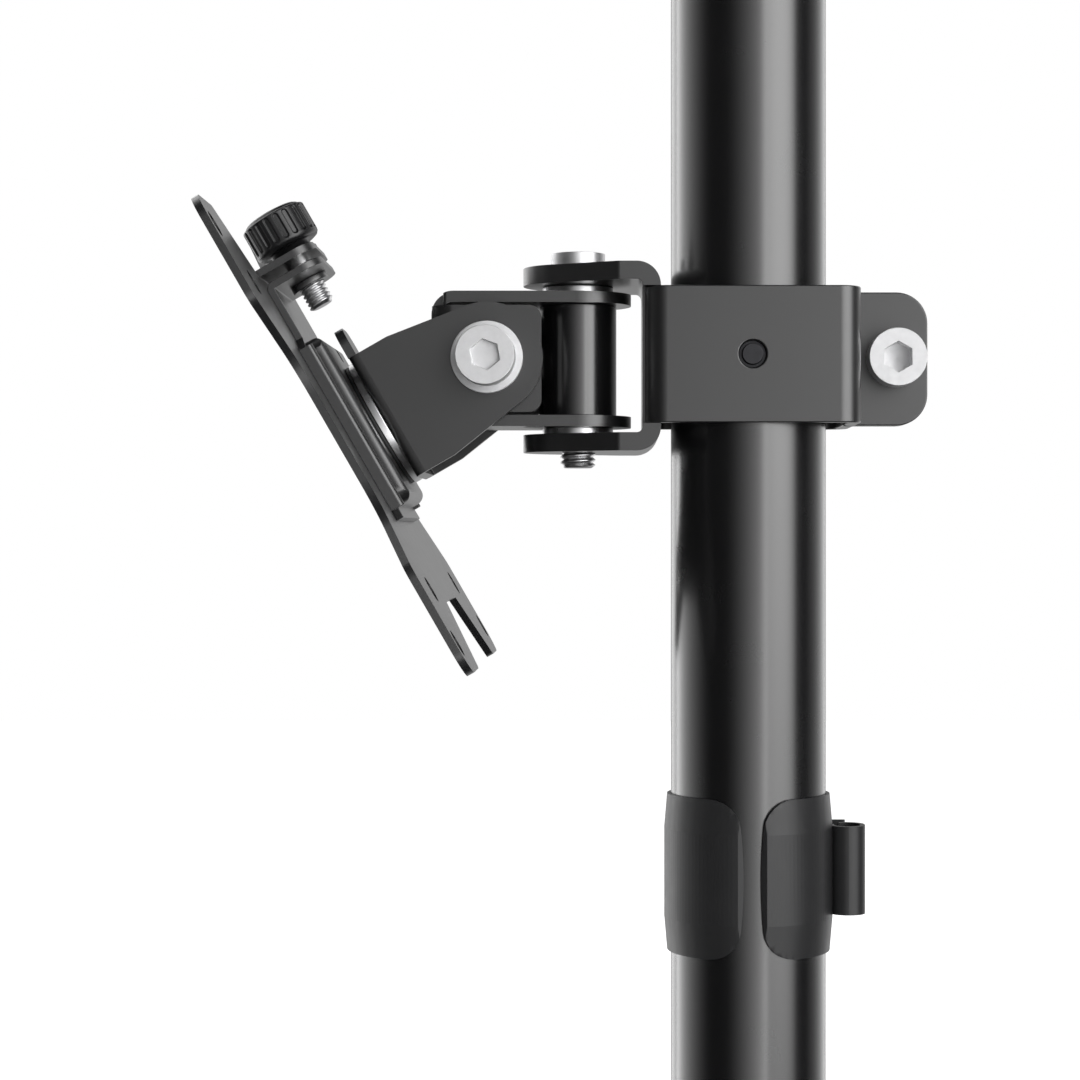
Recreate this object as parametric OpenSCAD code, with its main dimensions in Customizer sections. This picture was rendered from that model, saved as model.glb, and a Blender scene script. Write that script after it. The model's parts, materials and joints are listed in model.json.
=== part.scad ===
// Free-standing monitor stand: a round pole on a flat base carries a folded-sheet
// clamp collar, a swivel and tilt joint and a square monitor mounting plate.
// X runs along the head, which points to -X, Y runs away from the viewer and Z is up.
// The origin is on the floor, on the axis of the pole.

/* [Base] */
// Length of the base plate along X
base_l = 300; // [270:1:400]
// Width of the base plate along Y
base_w = 220; // [180:1:320]
// Thickness of the base plate
base_t = 8; // [6:0.5:12]
// Corner radius of the base plate
base_r = 25; // [5:1:50]
// Diameter of a rubber foot
foot_d = 24; // [14:1:36]
// Height of a foot below the plate
foot_h = 3; // [2:0.5:6]
// Distance from the plate's edges to the centre of a foot
foot_inset = 28; // [24:1:50]

/* [Pole] */
// Outer diameter of the pole
pole_d = 35; // [32:0.5:38]
// Wall of the pole
pole_wall = 2; // [1.5:0.1:3]
// Height of the pole's top end above the floor
pole_top = 450; // [440:1:700]
// Thickness of the end cap's rim
cap_t = 3; // [2:0.5:6]
// Depth of the end cap's plug in the pole
plug_h = 12; // [6:1:30]

/* [Pole socket] */
// Diameter of the socket's flange
socket_flange_d = 96; // [88:1:140]
// Thickness of the socket's flange
socket_flange_t = 6; // [5:0.5:10]
// Height of the socket's sleeve above the flange
socket_h = 40; // [30:1:70]
// Wall of the sleeve
socket_wall = 5; // [4:0.5:7]
// Diameter of the circle of base screws
base_screw_circle = 74; // [70:1:76]
// Diameter of a base screw
base_screw_d = 6; // [5:1:8]
// Number of base screws
base_screws_n = 4; // [3:1:6]
// Number of set screws in the sleeve
set_screws_n = 3; // [2:1:4]

/* [Clamp collar] */
// Height of the clamp
clamp_h = 30; // [26:0.5:36]
// Sheet thickness of the clamp
clamp_t = 2.5; // [2:0.1:3]
// Outer radius of the clamp's vertical bends
clamp_bend_r = 4.9; // [3.5:0.1:6]
// Space between the pole and the wall on the screw side
clamp_side_gap = 4; // [2:0.1:8]
// Space between the pole and the walls on the clevis side
clevis_side_gap = 3.45; // [2.9:0.05:3.6]
// Height of the clamp's middle above the tilt axis
collar_lift = 0.5; // [0:0.05:0.6]
// Reach of the flanges past the side wall
flange_l = 16.2; // [16:0.1:24]
// Radius of the flange corners
flange_r = 7; // [2:0.5:10]
// Gap between the two flanges
flange_gap = 0.5; // [0.2:0.1:2]
// Distance of the clamp screw from the side wall
clamp_screw_offset = 8.8; // [8.2:0.1:9]
// Diameter of the pole set screw in the front wall
pole_screw_d = 6; // [4:0.5:8]

/* [Clevis] */
// Sheet thickness of the clevis
clevis_t = 4; // [3:0.1:5]
// Width of the clevis along Y
clevis_w = 38; // [34:0.5:44]
// Outer radius of the clevis bends
clevis_bend_r = 5.3; // [5.2:0.1:5.6]
// Distance of the swivel axis from the clamp's face
swivel_reach = 18.45; // [18:0.05:24]
// Radius of the round tip of a clevis tab
clevis_tip_r = 12.3; // [10:0.1:14]
// Length of a tab's straight edge, from the clamp's face
clevis_straight = 9.35; // [6:0.05:12]

/* [Screws and washers] */
// Diameter of the swivel, tilt, clamp and pivot bolts
bolt_d = 8; // [7:0.1:8.2]
// Diameter of a cap screw's head
cap_head_d = 12.9; // [12.5:0.1:14]
// Height of a cap screw's head
cap_head_h = 8; // [6:0.1:9]
// Width across flats of a cap screw's hexagon socket
socket_af = 6; // [5:0.1:7]
// Diameter of the low head of the swivel bolt
low_head_d = 12.3; // [11.5:0.1:14]
// Height of the low head of the swivel bolt
low_head_h = 3.4; // [2.5:0.1:6]
// Length of the swivel bolt's thread below the clevis
swivel_thread_out = 3.4; // [1:0.1:8]
// Diameter of a flat washer
washer_d = 15.9; // [15:0.1:17]
// Thickness of a flat washer
washer_t = 1.6; // [1.2:0.1:2.2]
// Thickness of the thin washer above the yoke
thin_washer_t = 0.3; // [0.2:0.05:0.6]
// Width across flats of a nut
nut_af = 13; // [12.5:0.1:14]
// Height of a nut
nut_h = 6.5; // [5:0.1:8]
// Height of the thin nut on the pivot
thin_nut_h = 3.6; // [3:0.1:3.9]

/* [Yoke] */
// Height of the yoke along Z
yoke_h = 30; // [29:0.5:34]
// Width of the yoke along Y
yoke_w = 24; // [22:0.5:28]
// Sheet thickness of the yoke
yoke_t = 2.5; // [2:0.1:3]
// Outer radius of the yoke's bends
yoke_bend_r = 5; // [3.5:0.1:5.4]
// Distance between the swivel axis and the tilt axis
tilt_reach = 19.8; // [19.5:0.1:24]
// Distance from the tilt axis to the yoke's web
web_offset = 12.7; // [11:0.1:13]
// Height of the yoke's ears
ear_h = 23.7; // [20:0.1:23.9]
// Reach of the yoke's ears past the tilt axis
ear_reach = 11.9; // [9:0.1:12]
// Outer diameter of the spacer tube on the swivel bolt
spacer_d = 17.4; // [14:0.1:18]
// Outer diameter of the sleeve on the tilt bolt
sleeve_d = 14; // [11:0.1:15]

/* [Head] */
// Height of the tilt axis above the floor
head_z = 340; // [320:1:350]
// Angle by which the mounting plate faces down
tilt_down = 30; // [0:1:40]
// Sheet thickness of the tilt bracket
tilt_t = 2; // [1.6:0.1:2.5]
// Room for a side washer between the yoke and the tilt bracket
side_washer_t = 1.4; // [1:0.1:2]
// Distance from the tilt axis to the front of the tilt bracket's base
tilt_base_depth = 26.6; // [26:0.1:28]
// Half of the tilt bracket's height along the plate
tilt_half = 15; // [13:0.5:15]
// Radius of the round end of the tilt ears
tilt_tip_r = 12.3; // [10:0.1:13]
// Height of the tilt bracket's tongue above its base
tongue_h = 6.9; // [4:0.1:8]
// Diameter of the steel thrust disc
disc_d = 30.4; // [26:0.1:30.6]
// Thickness of the steel thrust disc
disc_t = 1.65; // [1:0.05:2]
// Thickness of the friction washer
friction_t = 0.8; // [0.5:0.1:1.2]

/* [Receiver and pocket] */
// Half of the receiver plate's width
receiver_half = 20.6; // [18:0.1:20.8]
// Distance from the pivot axis to the receiver's lower edge
receiver_low = 18.9; // [18:0.1:19.5]
// Distance from the pivot axis to the receiver's upper edge
receiver_high = 22.5; // [20:0.1:24]
// Sheet thickness of receiver, pocket bracket and tabs
sheet_t = 1.6; // [1.4:0.05:1.8]
// Depth of the receiver's pressed rim
rim_depth = 3.8; // [3.6:0.1:5]
// Half of the pocket bracket's width
pocket_half = 24; // [23.8:0.1:28]
// Width of the folded hem on the pocket's sides
hem_w = 1.9; // [1.7:0.1:3.1]
// Radius of the receiver's corners
receiver_corner_r = 4; // [2:0.5:6]

/* [Mounting plate] */
// Half of the mounting plate's height
plate_half_h = 57; // [56:0.5:70]
// Half of the mounting plate's width
plate_half_w = 55; // [54.5:0.5:70]
// Thickness of the mounting plate
plate_t = 1.65; // [1.5:0.05:2.5]
// Offset of the plate's centre below the pivot axis
plate_drop = 1; // [0:0.1:2]
// Distance from the plate's centre to the bottom of the top and bottom notches
notch_depth_s = 41; // [40.3:0.1:42]
// Distance from the plate's centre to the bottom of the side notches
notch_depth_t = 40; // [40:0.5:44]
// Side of the large square of monitor holes
hole_square_l = 100; // [99:0.5:101]
// Side of the small square of monitor holes
hole_square_s = 75; // [74:0.5:76]
// Diameter of a monitor hole
hole_d = 6; // [4.5:0.1:6.5]

/* [Tabs and thumb screw] */
// Half of the tabs' width
tab_half = 16; // [12:0.5:16]
// Gap between the two tabs
tab_gap = 2.1; // [1:0.1:3]
// Distance from the pocket bracket's sheet back to the thumb screw's axis
thumb_back = 6.5; // [6.4:0.1:7.4]
// Reach of the tabs past the thumb screw's axis
tab_reach = 5.7; // [5:0.1:8]
// Diameter of the thumb screw's thread
thumb_d = 6; // [5:0.5:6]
// Length of the thread that shows below the lower tab
thumb_out = 6.6; // [3:0.1:8]
// Diameter of the thumb screw's knob
knob_d = 15.3; // [13:0.1:16]
// Height of the knob's gripped part
knob_h = 8; // [7:0.1:12]
// Number of flutes round the knob
knob_flutes = 20; // [12:1:24]

/* [Cable clip] */
// Height of the cable clip
clip_h = 35.2; // [25:0.1:50]
// Height of the clip's centre above the floor
clip_z = 225.1; // [200:0.1:226]
// Wall of the clip at its middle
clip_wall = 1.45; // [1.2:0.05:2.5]
// Front gap between the clip's wings
clip_gap = 3.8; // [2:0.1:8]
// Radius of the bowed edge of a wing
wing_r = 100; // [60:1:200]
// Radius of a wing's corners
wing_corner_r = 7; // [3:0.5:9]
// Outer width of the cable hook
cable_hook_w = 8; // [7:0.1:12]
// Outer depth of the cable hook, front to back
cable_hook_l = 9.8; // [9:0.1:12]
// Height of the cable hook
cable_hook_h = 19.9; // [10:0.1:24]

/* [Fits] */
// Radial clearance of bolts, screws and plugs in their holes
fit = 0.05; // [0.02:0.01:0.08]
// Clearance between the pole and what slides on it
slide_fit = 0.05; // [0.02:0.01:0.1]

/* [Hidden] */

round_fn = 96;          // sides of a drawn circle
arc_step = 7.5;         // degrees between the points of a rounded corner
over = 1;               // how far a cutter runs past the piece that it cuts

// Stand
base_top = foot_h + base_t;
foot_recess = 0.5;
pole_r = pole_d / 2;
bore_r = pole_r + slide_fit;
socket_r = bore_r + socket_wall;
set_screw_d = 6;
set_screw_z = base_top + socket_flange_t + socket_h * 0.6;
csk_h = 3.3;            // depth of a countersunk head
csk_d = base_screw_d * 2;

// Collar
bolt_r = bolt_d / 2;
bolt_bore_r = bolt_r + fit;
collar_z = head_z + collar_lift;
clamp_face = bore_r + clamp_t;
clamp_side = pole_r + clamp_side_gap + clamp_t;
clevis_side = pole_r + clevis_side_gap + clamp_t;
flange_face = flange_gap / 2 + clamp_t;
flange_end = clamp_side + flange_l;
clamp_screw_x = clamp_side + clamp_screw_offset;
clamp_root_r = clamp_t + 0.5;
notch_half = clamp_face - clamp_bend_r - 0.5; // half of the clevis between the clamp's walls
socket_turn = 30;       // turn of the clamp screw's hexagon, which points up and down
clevis_low = head_z - yoke_h / 2 - washer_t - clevis_t;
clevis_high = head_z + yoke_h / 2 + washer_t + thin_washer_t + clevis_t;
swivel_x = -clamp_face - swivel_reach;

// Yoke
yoke_half = yoke_w / 2;
yoke_low = head_z - yoke_h / 2;
tilt_x = swivel_x - tilt_reach;
web_x = tilt_x - web_offset;
relief_x = web_x + 2.8;
relief_half = yoke_half - 3.5;
ear_end = tilt_x + ear_reach;
ear_corner_r = 2.75;

// Tilt head: n runs from the tilt axis to the monitor, y to the near side, e up the plate
tilt_in = yoke_half + side_washer_t;
tilt_out = tilt_in + tilt_t;
tilt_straight_n = 16.9;
tilt_bend_r = tilt_t + 0.5;
tongue_r = 4;
disc_n = tilt_base_depth;
friction_n = disc_n + disc_t + fit;
receiver_n = friction_n + friction_t;
rim_n = receiver_n + rim_depth;
pivot_washer_t = 1;
pivot_nut_n = tilt_base_depth - tilt_t - pivot_washer_t - thin_nut_h;
pivot_head_d = 16;
pivot_head_h = 1.5;
rim_r = sheet_t + 0.3;
rim_low_r = sheet_t + 1;
receiver_hole_d = 4;

// Pocket bracket, mounting plate and tabs
pocket_n = rim_n;
plate_n = pocket_n + sheet_t;
pocket_low = receiver_low + 0.4;
pocket_high = receiver_high - 1.5;
hem_n = pocket_n - sheet_t;
toe_l = 2.4;            // how far the bracket's flat toe runs past its hems
plate_e = -plate_drop;
upper_tab_e = plate_e + notch_depth_s + 0.2;
lower_tab_e = upper_tab_e - tab_gap - sheet_t;
thumb_n = pocket_n - thumb_back;
tab_end_n = thumb_n - tab_reach;
tab_corner_r = 5;
tab_bend_r = sheet_t + 0.3;
thumb_r = thumb_d / 2;
tab_nut_r = thumb_r + 1.4;
tab_nut_h = 1.5;
tip_e = lower_tab_e - thumb_out;
thumb_washer_t = 1.2;
thumb_washer_r = 5.6;
knob_neck_h = 1.7;
knob_neck_r = 4.8;
knob_e = upper_tab_e + sheet_t + thumb_washer_t + knob_neck_h;
knob_r = knob_d / 2;
dome_h = 1.2;
stud_top = knob_e + knob_h - 2;

// Keyholes that hang the mounting plate on the pocket bracket's studs
stud_places = [[-13, 15], [13, 15], [0, -3]];
stud_r = 2.5;
stud_head_r = 4.5;
stud_head_h = 1.2;
slot_play = 0.15;
slot_up = tab_gap;
slot_down = 10;

// Cable clip
clip_r = bore_r + clip_wall;
clip_end_r = bore_r + clip_wall * 0.55;
clip_taper_h = 7.6;
hook_wall = 1.05;
hook_x = clip_r + cable_hook_w / 2 - 0.65;
hook_y = 0.2;
hook_z = clip_z + 0.4;
hook_slit = 1.8;        // slit between the hook's end and the clip's wall
lip_y = hook_y + cable_hook_l / 2 + 4.5; // near face of the lip that leads a cable in
lip_x = hook_x + 0.4;

function unit(v) = v / norm(v);

// Arc that rounds corner b = [x, y, radius] between its neighbours a and c
function corner_arc(a, b, c) =
    let (p = [b[0], b[1]],
         u = unit([a[0], a[1]] - p),
         v = unit([c[0], c[1]] - p),
         half = acos(u * v) / 2,
         centre = p + unit(u + v) * b[2] / sin(half),
         first = p + u * b[2] / tan(half) - centre,
         last = p + v * b[2] / tan(half) - centre,
         start = atan2(first[1], first[0]),
         turn = atan2(first[0] * last[1] - first[1] * last[0], first * last),
         steps = max(1, ceil(abs(turn) / arc_step)))
    [for (i = [0 : steps])
        centre + b[2] * [cos(start + turn * i / steps), sin(start + turn * i / steps)]];

// Outline through points [x, y, radius]; a radius of 0 leaves the corner sharp
function rounded(points) =
    let (count = len(points))
    [for (i = [0 : count - 1])
        each points[i][2] > 0
            ? corner_arc(points[(i + count - 1) % count], points[i], points[(i + 1) % count])
            : [[points[i][0], points[i][1]]]];

// Distance from a round tip's centre to the point where the two straight sides that
// touch the tip would meet; p is a point on one side, seen from the centre
function taper_apex(p, r) = -r / cos(atan2(p[1], p[0]) + acos(r / norm(p)));

// Extrudes an outline in (x, z) along Y, centred
module along_y(width) {
    rotate([90, 0, 0]) linear_extrude(width, center = true) children();
}

// Extrudes an outline in (y, z) along X, from x = start
module along_x(start, length) {
    translate([start, 0, 0]) rotate([90, 0, 90]) linear_extrude(length) children();
}

module ring(outer_r, inner_r, height) {
    difference() {
        cylinder(h = height, r = outer_r, $fn = round_fn);
        translate([0, 0, -over]) cylinder(h = height + 2 * over, r = inner_r, $fn = round_fn);
    }
}

module hexagon(af, height) {
    cylinder(h = height, r = af / 2 / cos(30), $fn = 6);
}

module nut(af, height, hole_r) {
    difference() {
        rotate(30) hexagon(af, height);
        translate([0, 0, -over]) cylinder(h = height + 2 * over, r = hole_r, $fn = round_fn);
    }
}

// Cap screw with its head above z = 0 and its shank below; a deep socket ends in a cone
module cap_screw(head_d, head_h, shank_d, length, af, depth, turn = 0, cone = true) {
    difference() {
        union() {
            cylinder(h = head_h, d = head_d, $fn = round_fn);
            translate([0, 0, -length]) cylinder(h = length + over, d = shank_d, $fn = round_fn);
        }
        translate([0, 0, head_h - depth]) rotate(turn) hexagon(af, depth + over);
        if (cone) translate([0, 0, head_h - depth - af / 6])
            cylinder(h = af / 6 + 0.01, r1 = 0.05, r2 = af / 2 - 0.1, $fn = round_fn);
    }
}

// Headless screw along Z with a hexagon socket in its top
module set_screw(d, length, af) {
    difference() {
        cylinder(h = length, d = d, $fn = round_fn);
        translate([0, 0, length * 0.4]) rotate(30) hexagon(af, length);
    }
}

// Moves the head's own frame (n, y, e) to its place on the tilt axis
module in_head() {
    translate([tilt_x, 0, head_z]) rotate([0, -tilt_down, 0]) rotate([0, 0, 180]) children();
}

// Cylinder along n in the head's frame
module head_cylinder(n, r, length) {
    translate([n, 0, 0]) rotate([0, 90, 0]) cylinder(h = length, r = r, $fn = round_fn);
}

module head_ring(n, outer_r, inner_r, length) {
    difference() {
        head_cylinder(n, outer_r, length);
        head_cylinder(n - over, inner_r, length + 2 * over);
    }
}

// Places children on the thumb screw's axis, in the head's frame
module on_thumb(e) {
    translate([thumb_n, 0, e]) children();
}

module base_corners() {
    for (x = [-1, 1], y = [-1, 1])
        translate([x * (base_l / 2 - foot_inset), y * (base_w / 2 - foot_inset), 0]) children();
}

module base_screw_places() {
    for (i = [0 : base_screws_n - 1])
        rotate(45 + i * 360 / base_screws_n) translate([base_screw_circle / 2, 0, 0]) children();
}

module set_screw_places() {
    for (i = [0 : set_screws_n - 1])
        rotate(90 + i * 360 / set_screws_n) translate([0, 0, set_screw_z]) rotate([0, 90, 0])
            children();
}

module base_plate() {
    x = base_l / 2;
    y = base_w / 2;
    color("#26272a") difference() {
        translate([0, 0, foot_h]) linear_extrude(base_t) polygon(rounded([
            [-x, -y, base_r], [x, -y, base_r], [x, y, base_r], [-x, y, base_r]]));
        base_corners() translate([0, 0, foot_h - over])
            cylinder(h = over + foot_recess, d = foot_d + 2 * fit, $fn = round_fn);
        base_screw_places() {
            translate([0, 0, foot_h - over])
                cylinder(h = base_t + 2 * over, r = base_screw_d / 2 + fit, $fn = round_fn);
            translate([0, 0, foot_h - 0.01])
                cylinder(h = csk_h, r1 = csk_d / 2 + fit, r2 = base_screw_d / 2 + fit, $fn = round_fn);
        }
    }
}

module rubber_feet() {
    color("#141414") base_corners() {
        cylinder(h = 0.8, r1 = foot_d / 2 - 0.8, r2 = foot_d / 2, $fn = round_fn);
        translate([0, 0, 0.8])
            cylinder(h = foot_h + foot_recess - 0.8, d = foot_d, $fn = round_fn);
    }
}

module pole_socket() {
    color("#2a2b2e") difference() {
        translate([0, 0, base_top]) union() {
            cylinder(h = socket_flange_t, d = socket_flange_d, $fn = round_fn);
            cylinder(h = socket_flange_t + socket_h, r = socket_r, $fn = round_fn);
        }
        translate([0, 0, base_top - over])
            cylinder(h = socket_flange_t + socket_h + 2 * over, r = bore_r, $fn = round_fn);
        base_screw_places() translate([0, 0, base_top - over])
            cylinder(h = socket_flange_t + 2 * over, r = base_screw_d / 2 + fit, $fn = round_fn);
        set_screw_places()
            cylinder(h = socket_r + over, r = set_screw_d / 2 + fit, $fn = round_fn);
    }
}

module base_screws() {
    length = base_t + socket_flange_t - 0.5;
    color("#b9bcc0") base_screw_places() translate([0, 0, foot_h]) difference() {
        union() {
            cylinder(h = csk_h, r1 = csk_d / 2, r2 = base_screw_d / 2, $fn = round_fn);
            cylinder(h = length, d = base_screw_d, $fn = round_fn);
        }
        translate([0, 0, -over]) hexagon(base_screw_d * 0.6, over + 2.4);
    }
}

module socket_set_screws() {
    color("#b9bcc0") set_screw_places() translate([0, 0, pole_r + fit])
        set_screw(set_screw_d, socket_r - pole_r - fit, set_screw_d / 2);
}

module pole() {
    color("#8d9093") translate([0, 0, base_top])
        ring(pole_r, pole_r - pole_wall, pole_top - base_top);
}

module pole_cap() {
    plug_r = pole_r - pole_wall - fit;
    color("#1b1b1c") {
        translate([0, 0, pole_top]) cylinder(h = cap_t - 1, r = pole_r, $fn = round_fn);
        translate([0, 0, pole_top + cap_t - 1])
            cylinder(h = 1, r1 = pole_r, r2 = pole_r - 1, $fn = round_fn);
        translate([0, 0, pole_top - plug_h]) ring(plug_r, plug_r - 2, plug_h);
    }
}

// One half of the clamp, in front of the pole
module clamp_half() {
    face = clamp_face;
    side = clevis_side;
    inner_r = clamp_bend_r - clamp_t;
    seam = flange_gap / 2;
    low = collar_z - clamp_h / 2;
    difference() {
        union() {
            translate([0, 0, low]) linear_extrude(clamp_h) polygon(rounded([
                [-side, -notch_half, 0], [-side, -face, clamp_bend_r],
                [clamp_side, -face, clamp_bend_r], [clamp_side, -flange_face, 0.5],
                [clamp_side + clamp_root_r, -flange_face, 0],
                [clamp_side + clamp_root_r, -seam, 0], [clamp_side - clamp_t, -seam, clamp_root_r],
                [clamp_side - clamp_t, -bore_r, inner_r], [clamp_t - side, -bore_r, inner_r],
                [clamp_t - side, -notch_half, 0]]));
            translate([0, -(flange_face + seam) / 2, collar_z]) along_y(clamp_t)
                polygon(rounded([
                    [clamp_side + 1, -clamp_h / 2, 0], [flange_end, -clamp_h / 2, flange_r],
                    [flange_end, clamp_h / 2, flange_r], [clamp_side + 1, clamp_h / 2, 0]]));
        }
        translate([clamp_screw_x, 0, collar_z]) rotate([90, 0, 0])
            cylinder(h = face, r = bolt_bore_r, $fn = round_fn);
    }
}

module clamp_front() {
    color("#3a3b3d") difference() {
        clamp_half();
        translate([0, 0, collar_z]) rotate([90, 0, 0])
            cylinder(h = clamp_face + over, r = pole_screw_d / 2 + fit, $fn = round_fn);
    }
}

module clamp_rear() {
    color("#38393b") mirror([0, 1, 0]) clamp_half();
}

module clevis_bracket() {
    face = -clamp_face;
    tip_x = swivel_x - clevis_tip_r;
    inner_r = clevis_bend_r - clevis_t;
    half = clevis_w / 2;
    side = face - clevis_straight;
    apex = swivel_x - taper_apex([side - swivel_x, half], clevis_tip_r);
    color("#3f4042") difference() {
        intersection() {
            along_y(clevis_w) polygon(rounded([
                [face, clevis_low, clevis_bend_r], [face, clevis_high, clevis_bend_r],
                [tip_x, clevis_high, 0], [tip_x, clevis_high - clevis_t, 0],
                [face - clevis_t, clevis_high - clevis_t, inner_r],
                [face - clevis_t, clevis_low + clevis_t, inner_r],
                [tip_x, clevis_low + clevis_t, 0], [tip_x, clevis_low, 0]]));
            translate([0, 0, clevis_low - over])
                linear_extrude(clevis_high - clevis_low + 2 * over) polygon(rounded([
                    [face + over, -half, 0], [face + over, half, 0], [side, half, 2],
                    [apex, 0, clevis_tip_r], [side, -half, 2]]));
        }
        translate([swivel_x, 0, clevis_low - over])
            cylinder(h = clevis_high - clevis_low + 2 * over, r = bolt_bore_r, $fn = round_fn);
        for (y = [notch_half, -half - over])
            translate([face - clevis_t - over, y, collar_z - clamp_h / 2 - fit])
                cube([clevis_t + 2 * over, half - notch_half + over, clamp_h + 2 * fit]);
    }
}

module clamp_screw() {
    length = 2 * flange_face + washer_t + nut_h + 1;
    color("#d9dadb") translate([clamp_screw_x, -flange_face, collar_z]) rotate([90, 0, 0])
        cap_screw(cap_head_d, cap_head_h, bolt_d, length, socket_af, 4, socket_turn);
}

module clamp_washer() {
    color("#c4c6c8") translate([clamp_screw_x, flange_face + washer_t, collar_z])
        rotate([90, 0, 0]) ring(washer_d / 2, bolt_bore_r, washer_t);
}

module clamp_nut() {
    color("#c4c6c8") translate([clamp_screw_x, flange_face + washer_t + nut_h, collar_z])
        rotate([90, 0, 0]) nut(nut_af, nut_h, bolt_bore_r);
}

module pole_set_screw() {
    groove_w = 0.7;               // groove round the screw's flat end
    groove_h = clamp_t * 0.75;
    end_recess = 0.25;
    color("#6f7174") translate([0, -pole_r - fit, collar_z]) rotate([90, 0, 0]) {
        cylinder(h = clamp_t - groove_h, d = pole_screw_d, $fn = round_fn);
        cylinder(h = clamp_t - end_recess, d = pole_screw_d - 2 * groove_w, $fn = round_fn);
    }
}

module swivel_bolt() {
    length = clevis_high - clevis_low + swivel_thread_out;
    color("#d2d3d5") translate([swivel_x, 0, clevis_high])
        cap_screw(low_head_d, low_head_h, bolt_d, length, socket_af * 0.8, 2.2);
}

module swivel_washers() {
    color("#c8cacc") for (z = [yoke_low - washer_t, yoke_low + yoke_h])
        translate([swivel_x, 0, z]) ring(washer_d / 2, bolt_bore_r, washer_t);
}

module thin_washer() {
    color("#1c1c1d") translate([swivel_x, 0, yoke_low + yoke_h + washer_t])
        ring(washer_d / 2, bolt_bore_r, thin_washer_t);
}

module spacer_tube() {
    color("#222325") translate([swivel_x, 0, yoke_low + yoke_t])
        ring(spacer_d / 2, bolt_bore_r, yoke_h - 2 * yoke_t);
}

module yoke_bracket() {
    yoke_high = yoke_low + yoke_h;
    tab_end = swivel_x + yoke_half;
    inner_r = yoke_bend_r - yoke_t;
    tip_r = yoke_half - 0.01;
    color("#3b3c3e") difference() {
        union() {
            intersection() {
                along_y(yoke_w) polygon(rounded([
                    [web_x, yoke_low, yoke_bend_r], [web_x, yoke_high, yoke_bend_r],
                    [tab_end, yoke_high, 0], [tab_end, yoke_high - yoke_t, 0],
                    [web_x + yoke_t, yoke_high - yoke_t, inner_r],
                    [web_x + yoke_t, yoke_low + yoke_t, inner_r],
                    [tab_end, yoke_low + yoke_t, 0], [tab_end, yoke_low, 0]]));
                translate([0, 0, yoke_low - over]) linear_extrude(yoke_h + 2 * over)
                    polygon(rounded([
                        [web_x - over, -relief_half, 0], [relief_x, -relief_half, 0],
                        [relief_x, -yoke_half, 0.8], [tab_end, -yoke_half, tip_r],
                        [tab_end, yoke_half, tip_r], [relief_x, yoke_half, 0.8],
                        [relief_x, relief_half, 0], [web_x - over, relief_half, 0]]));
            }
            intersection() {
                translate([0, 0, head_z - ear_h / 2]) linear_extrude(ear_h) polygon(rounded([
                    [ear_end, -yoke_half, 0], [web_x, -yoke_half, yoke_bend_r],
                    [web_x, yoke_half, yoke_bend_r], [ear_end, yoke_half, 0],
                    [ear_end, yoke_half - yoke_t, 0],
                    [web_x + yoke_t, yoke_half - yoke_t, inner_r],
                    [web_x + yoke_t, yoke_t - yoke_half, inner_r],
                    [ear_end, yoke_t - yoke_half, 0]]));
                translate([0, 0, head_z]) along_y(yoke_w + 2 * over) polygon(rounded([
                    [web_x - over, -ear_h / 2, 0], [ear_end, -ear_h / 2, ear_corner_r],
                    [ear_end, ear_h / 2, ear_corner_r], [web_x - over, ear_h / 2, 0]]));
            }
        }
        translate([swivel_x, 0, yoke_low - over])
            cylinder(h = yoke_h + 2 * over, r = bolt_bore_r, $fn = round_fn);
        translate([tilt_x, yoke_half + over, head_z]) rotate([90, 0, 0])
            cylinder(h = yoke_w + 2 * over, r = bolt_bore_r, $fn = round_fn);
    }
}

module tilt_sleeve() {
    length = yoke_w - 2 * yoke_t;
    color("#222325") translate([tilt_x, length / 2, head_z]) rotate([90, 0, 0])
        ring(sleeve_d / 2, bolt_bore_r, length);
}

module side_washers() {
    color("#c8cacc") for (y = [-yoke_half, tilt_in])
        translate([tilt_x, y, head_z]) rotate([90, 0, 0])
            ring(washer_d / 2, bolt_bore_r, side_washer_t);
}

module tilt_bracket() {
    inner_r = tilt_bend_r - tilt_t;
    apex = -taper_apex([tilt_straight_n, tilt_half], tilt_tip_r);
    color("#3d3e40") in_head() difference() {
        union() {
            intersection() {
                translate([0, 0, -tilt_half]) linear_extrude(2 * tilt_half) polygon(rounded([
                    [-tilt_tip_r, -tilt_out, 0], [tilt_base_depth, -tilt_out, tilt_bend_r],
                    [tilt_base_depth, tilt_out, tilt_bend_r], [-tilt_tip_r, tilt_out, 0],
                    [-tilt_tip_r, tilt_in, 0], [tilt_base_depth - tilt_t, tilt_in, inner_r],
                    [tilt_base_depth - tilt_t, -tilt_in, inner_r], [-tilt_tip_r, -tilt_in, 0]]));
                along_y(2 * tilt_out + 2 * over) polygon(rounded([
                    [tilt_base_depth + over, -tilt_half, 0], [tilt_base_depth + over, tilt_half, 0],
                    [tilt_straight_n, tilt_half, 0], [apex, 0, tilt_tip_r],
                    [tilt_straight_n, -tilt_half, 0]]));
            }
            along_x(tilt_base_depth - tilt_t, tilt_t) polygon(rounded([
                [0, tilt_half - 2, 0], [tilt_out - tilt_bend_r, tilt_half - 2, 0],
                [tilt_out - tilt_bend_r, tilt_half, 0], [tilt_out, tilt_half, 0],
                [tilt_out, tilt_half + tongue_h, tongue_r], [0, tilt_half + tongue_h, tongue_r]]));
        }
        translate([0, tilt_out + over, 0]) rotate([90, 0, 0])
            cylinder(h = 2 * tilt_out + 2 * over, r = bolt_bore_r, $fn = round_fn);
        head_cylinder(tilt_base_depth - tilt_t - over, bolt_bore_r, tilt_t + 2 * over);
    }
}

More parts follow.
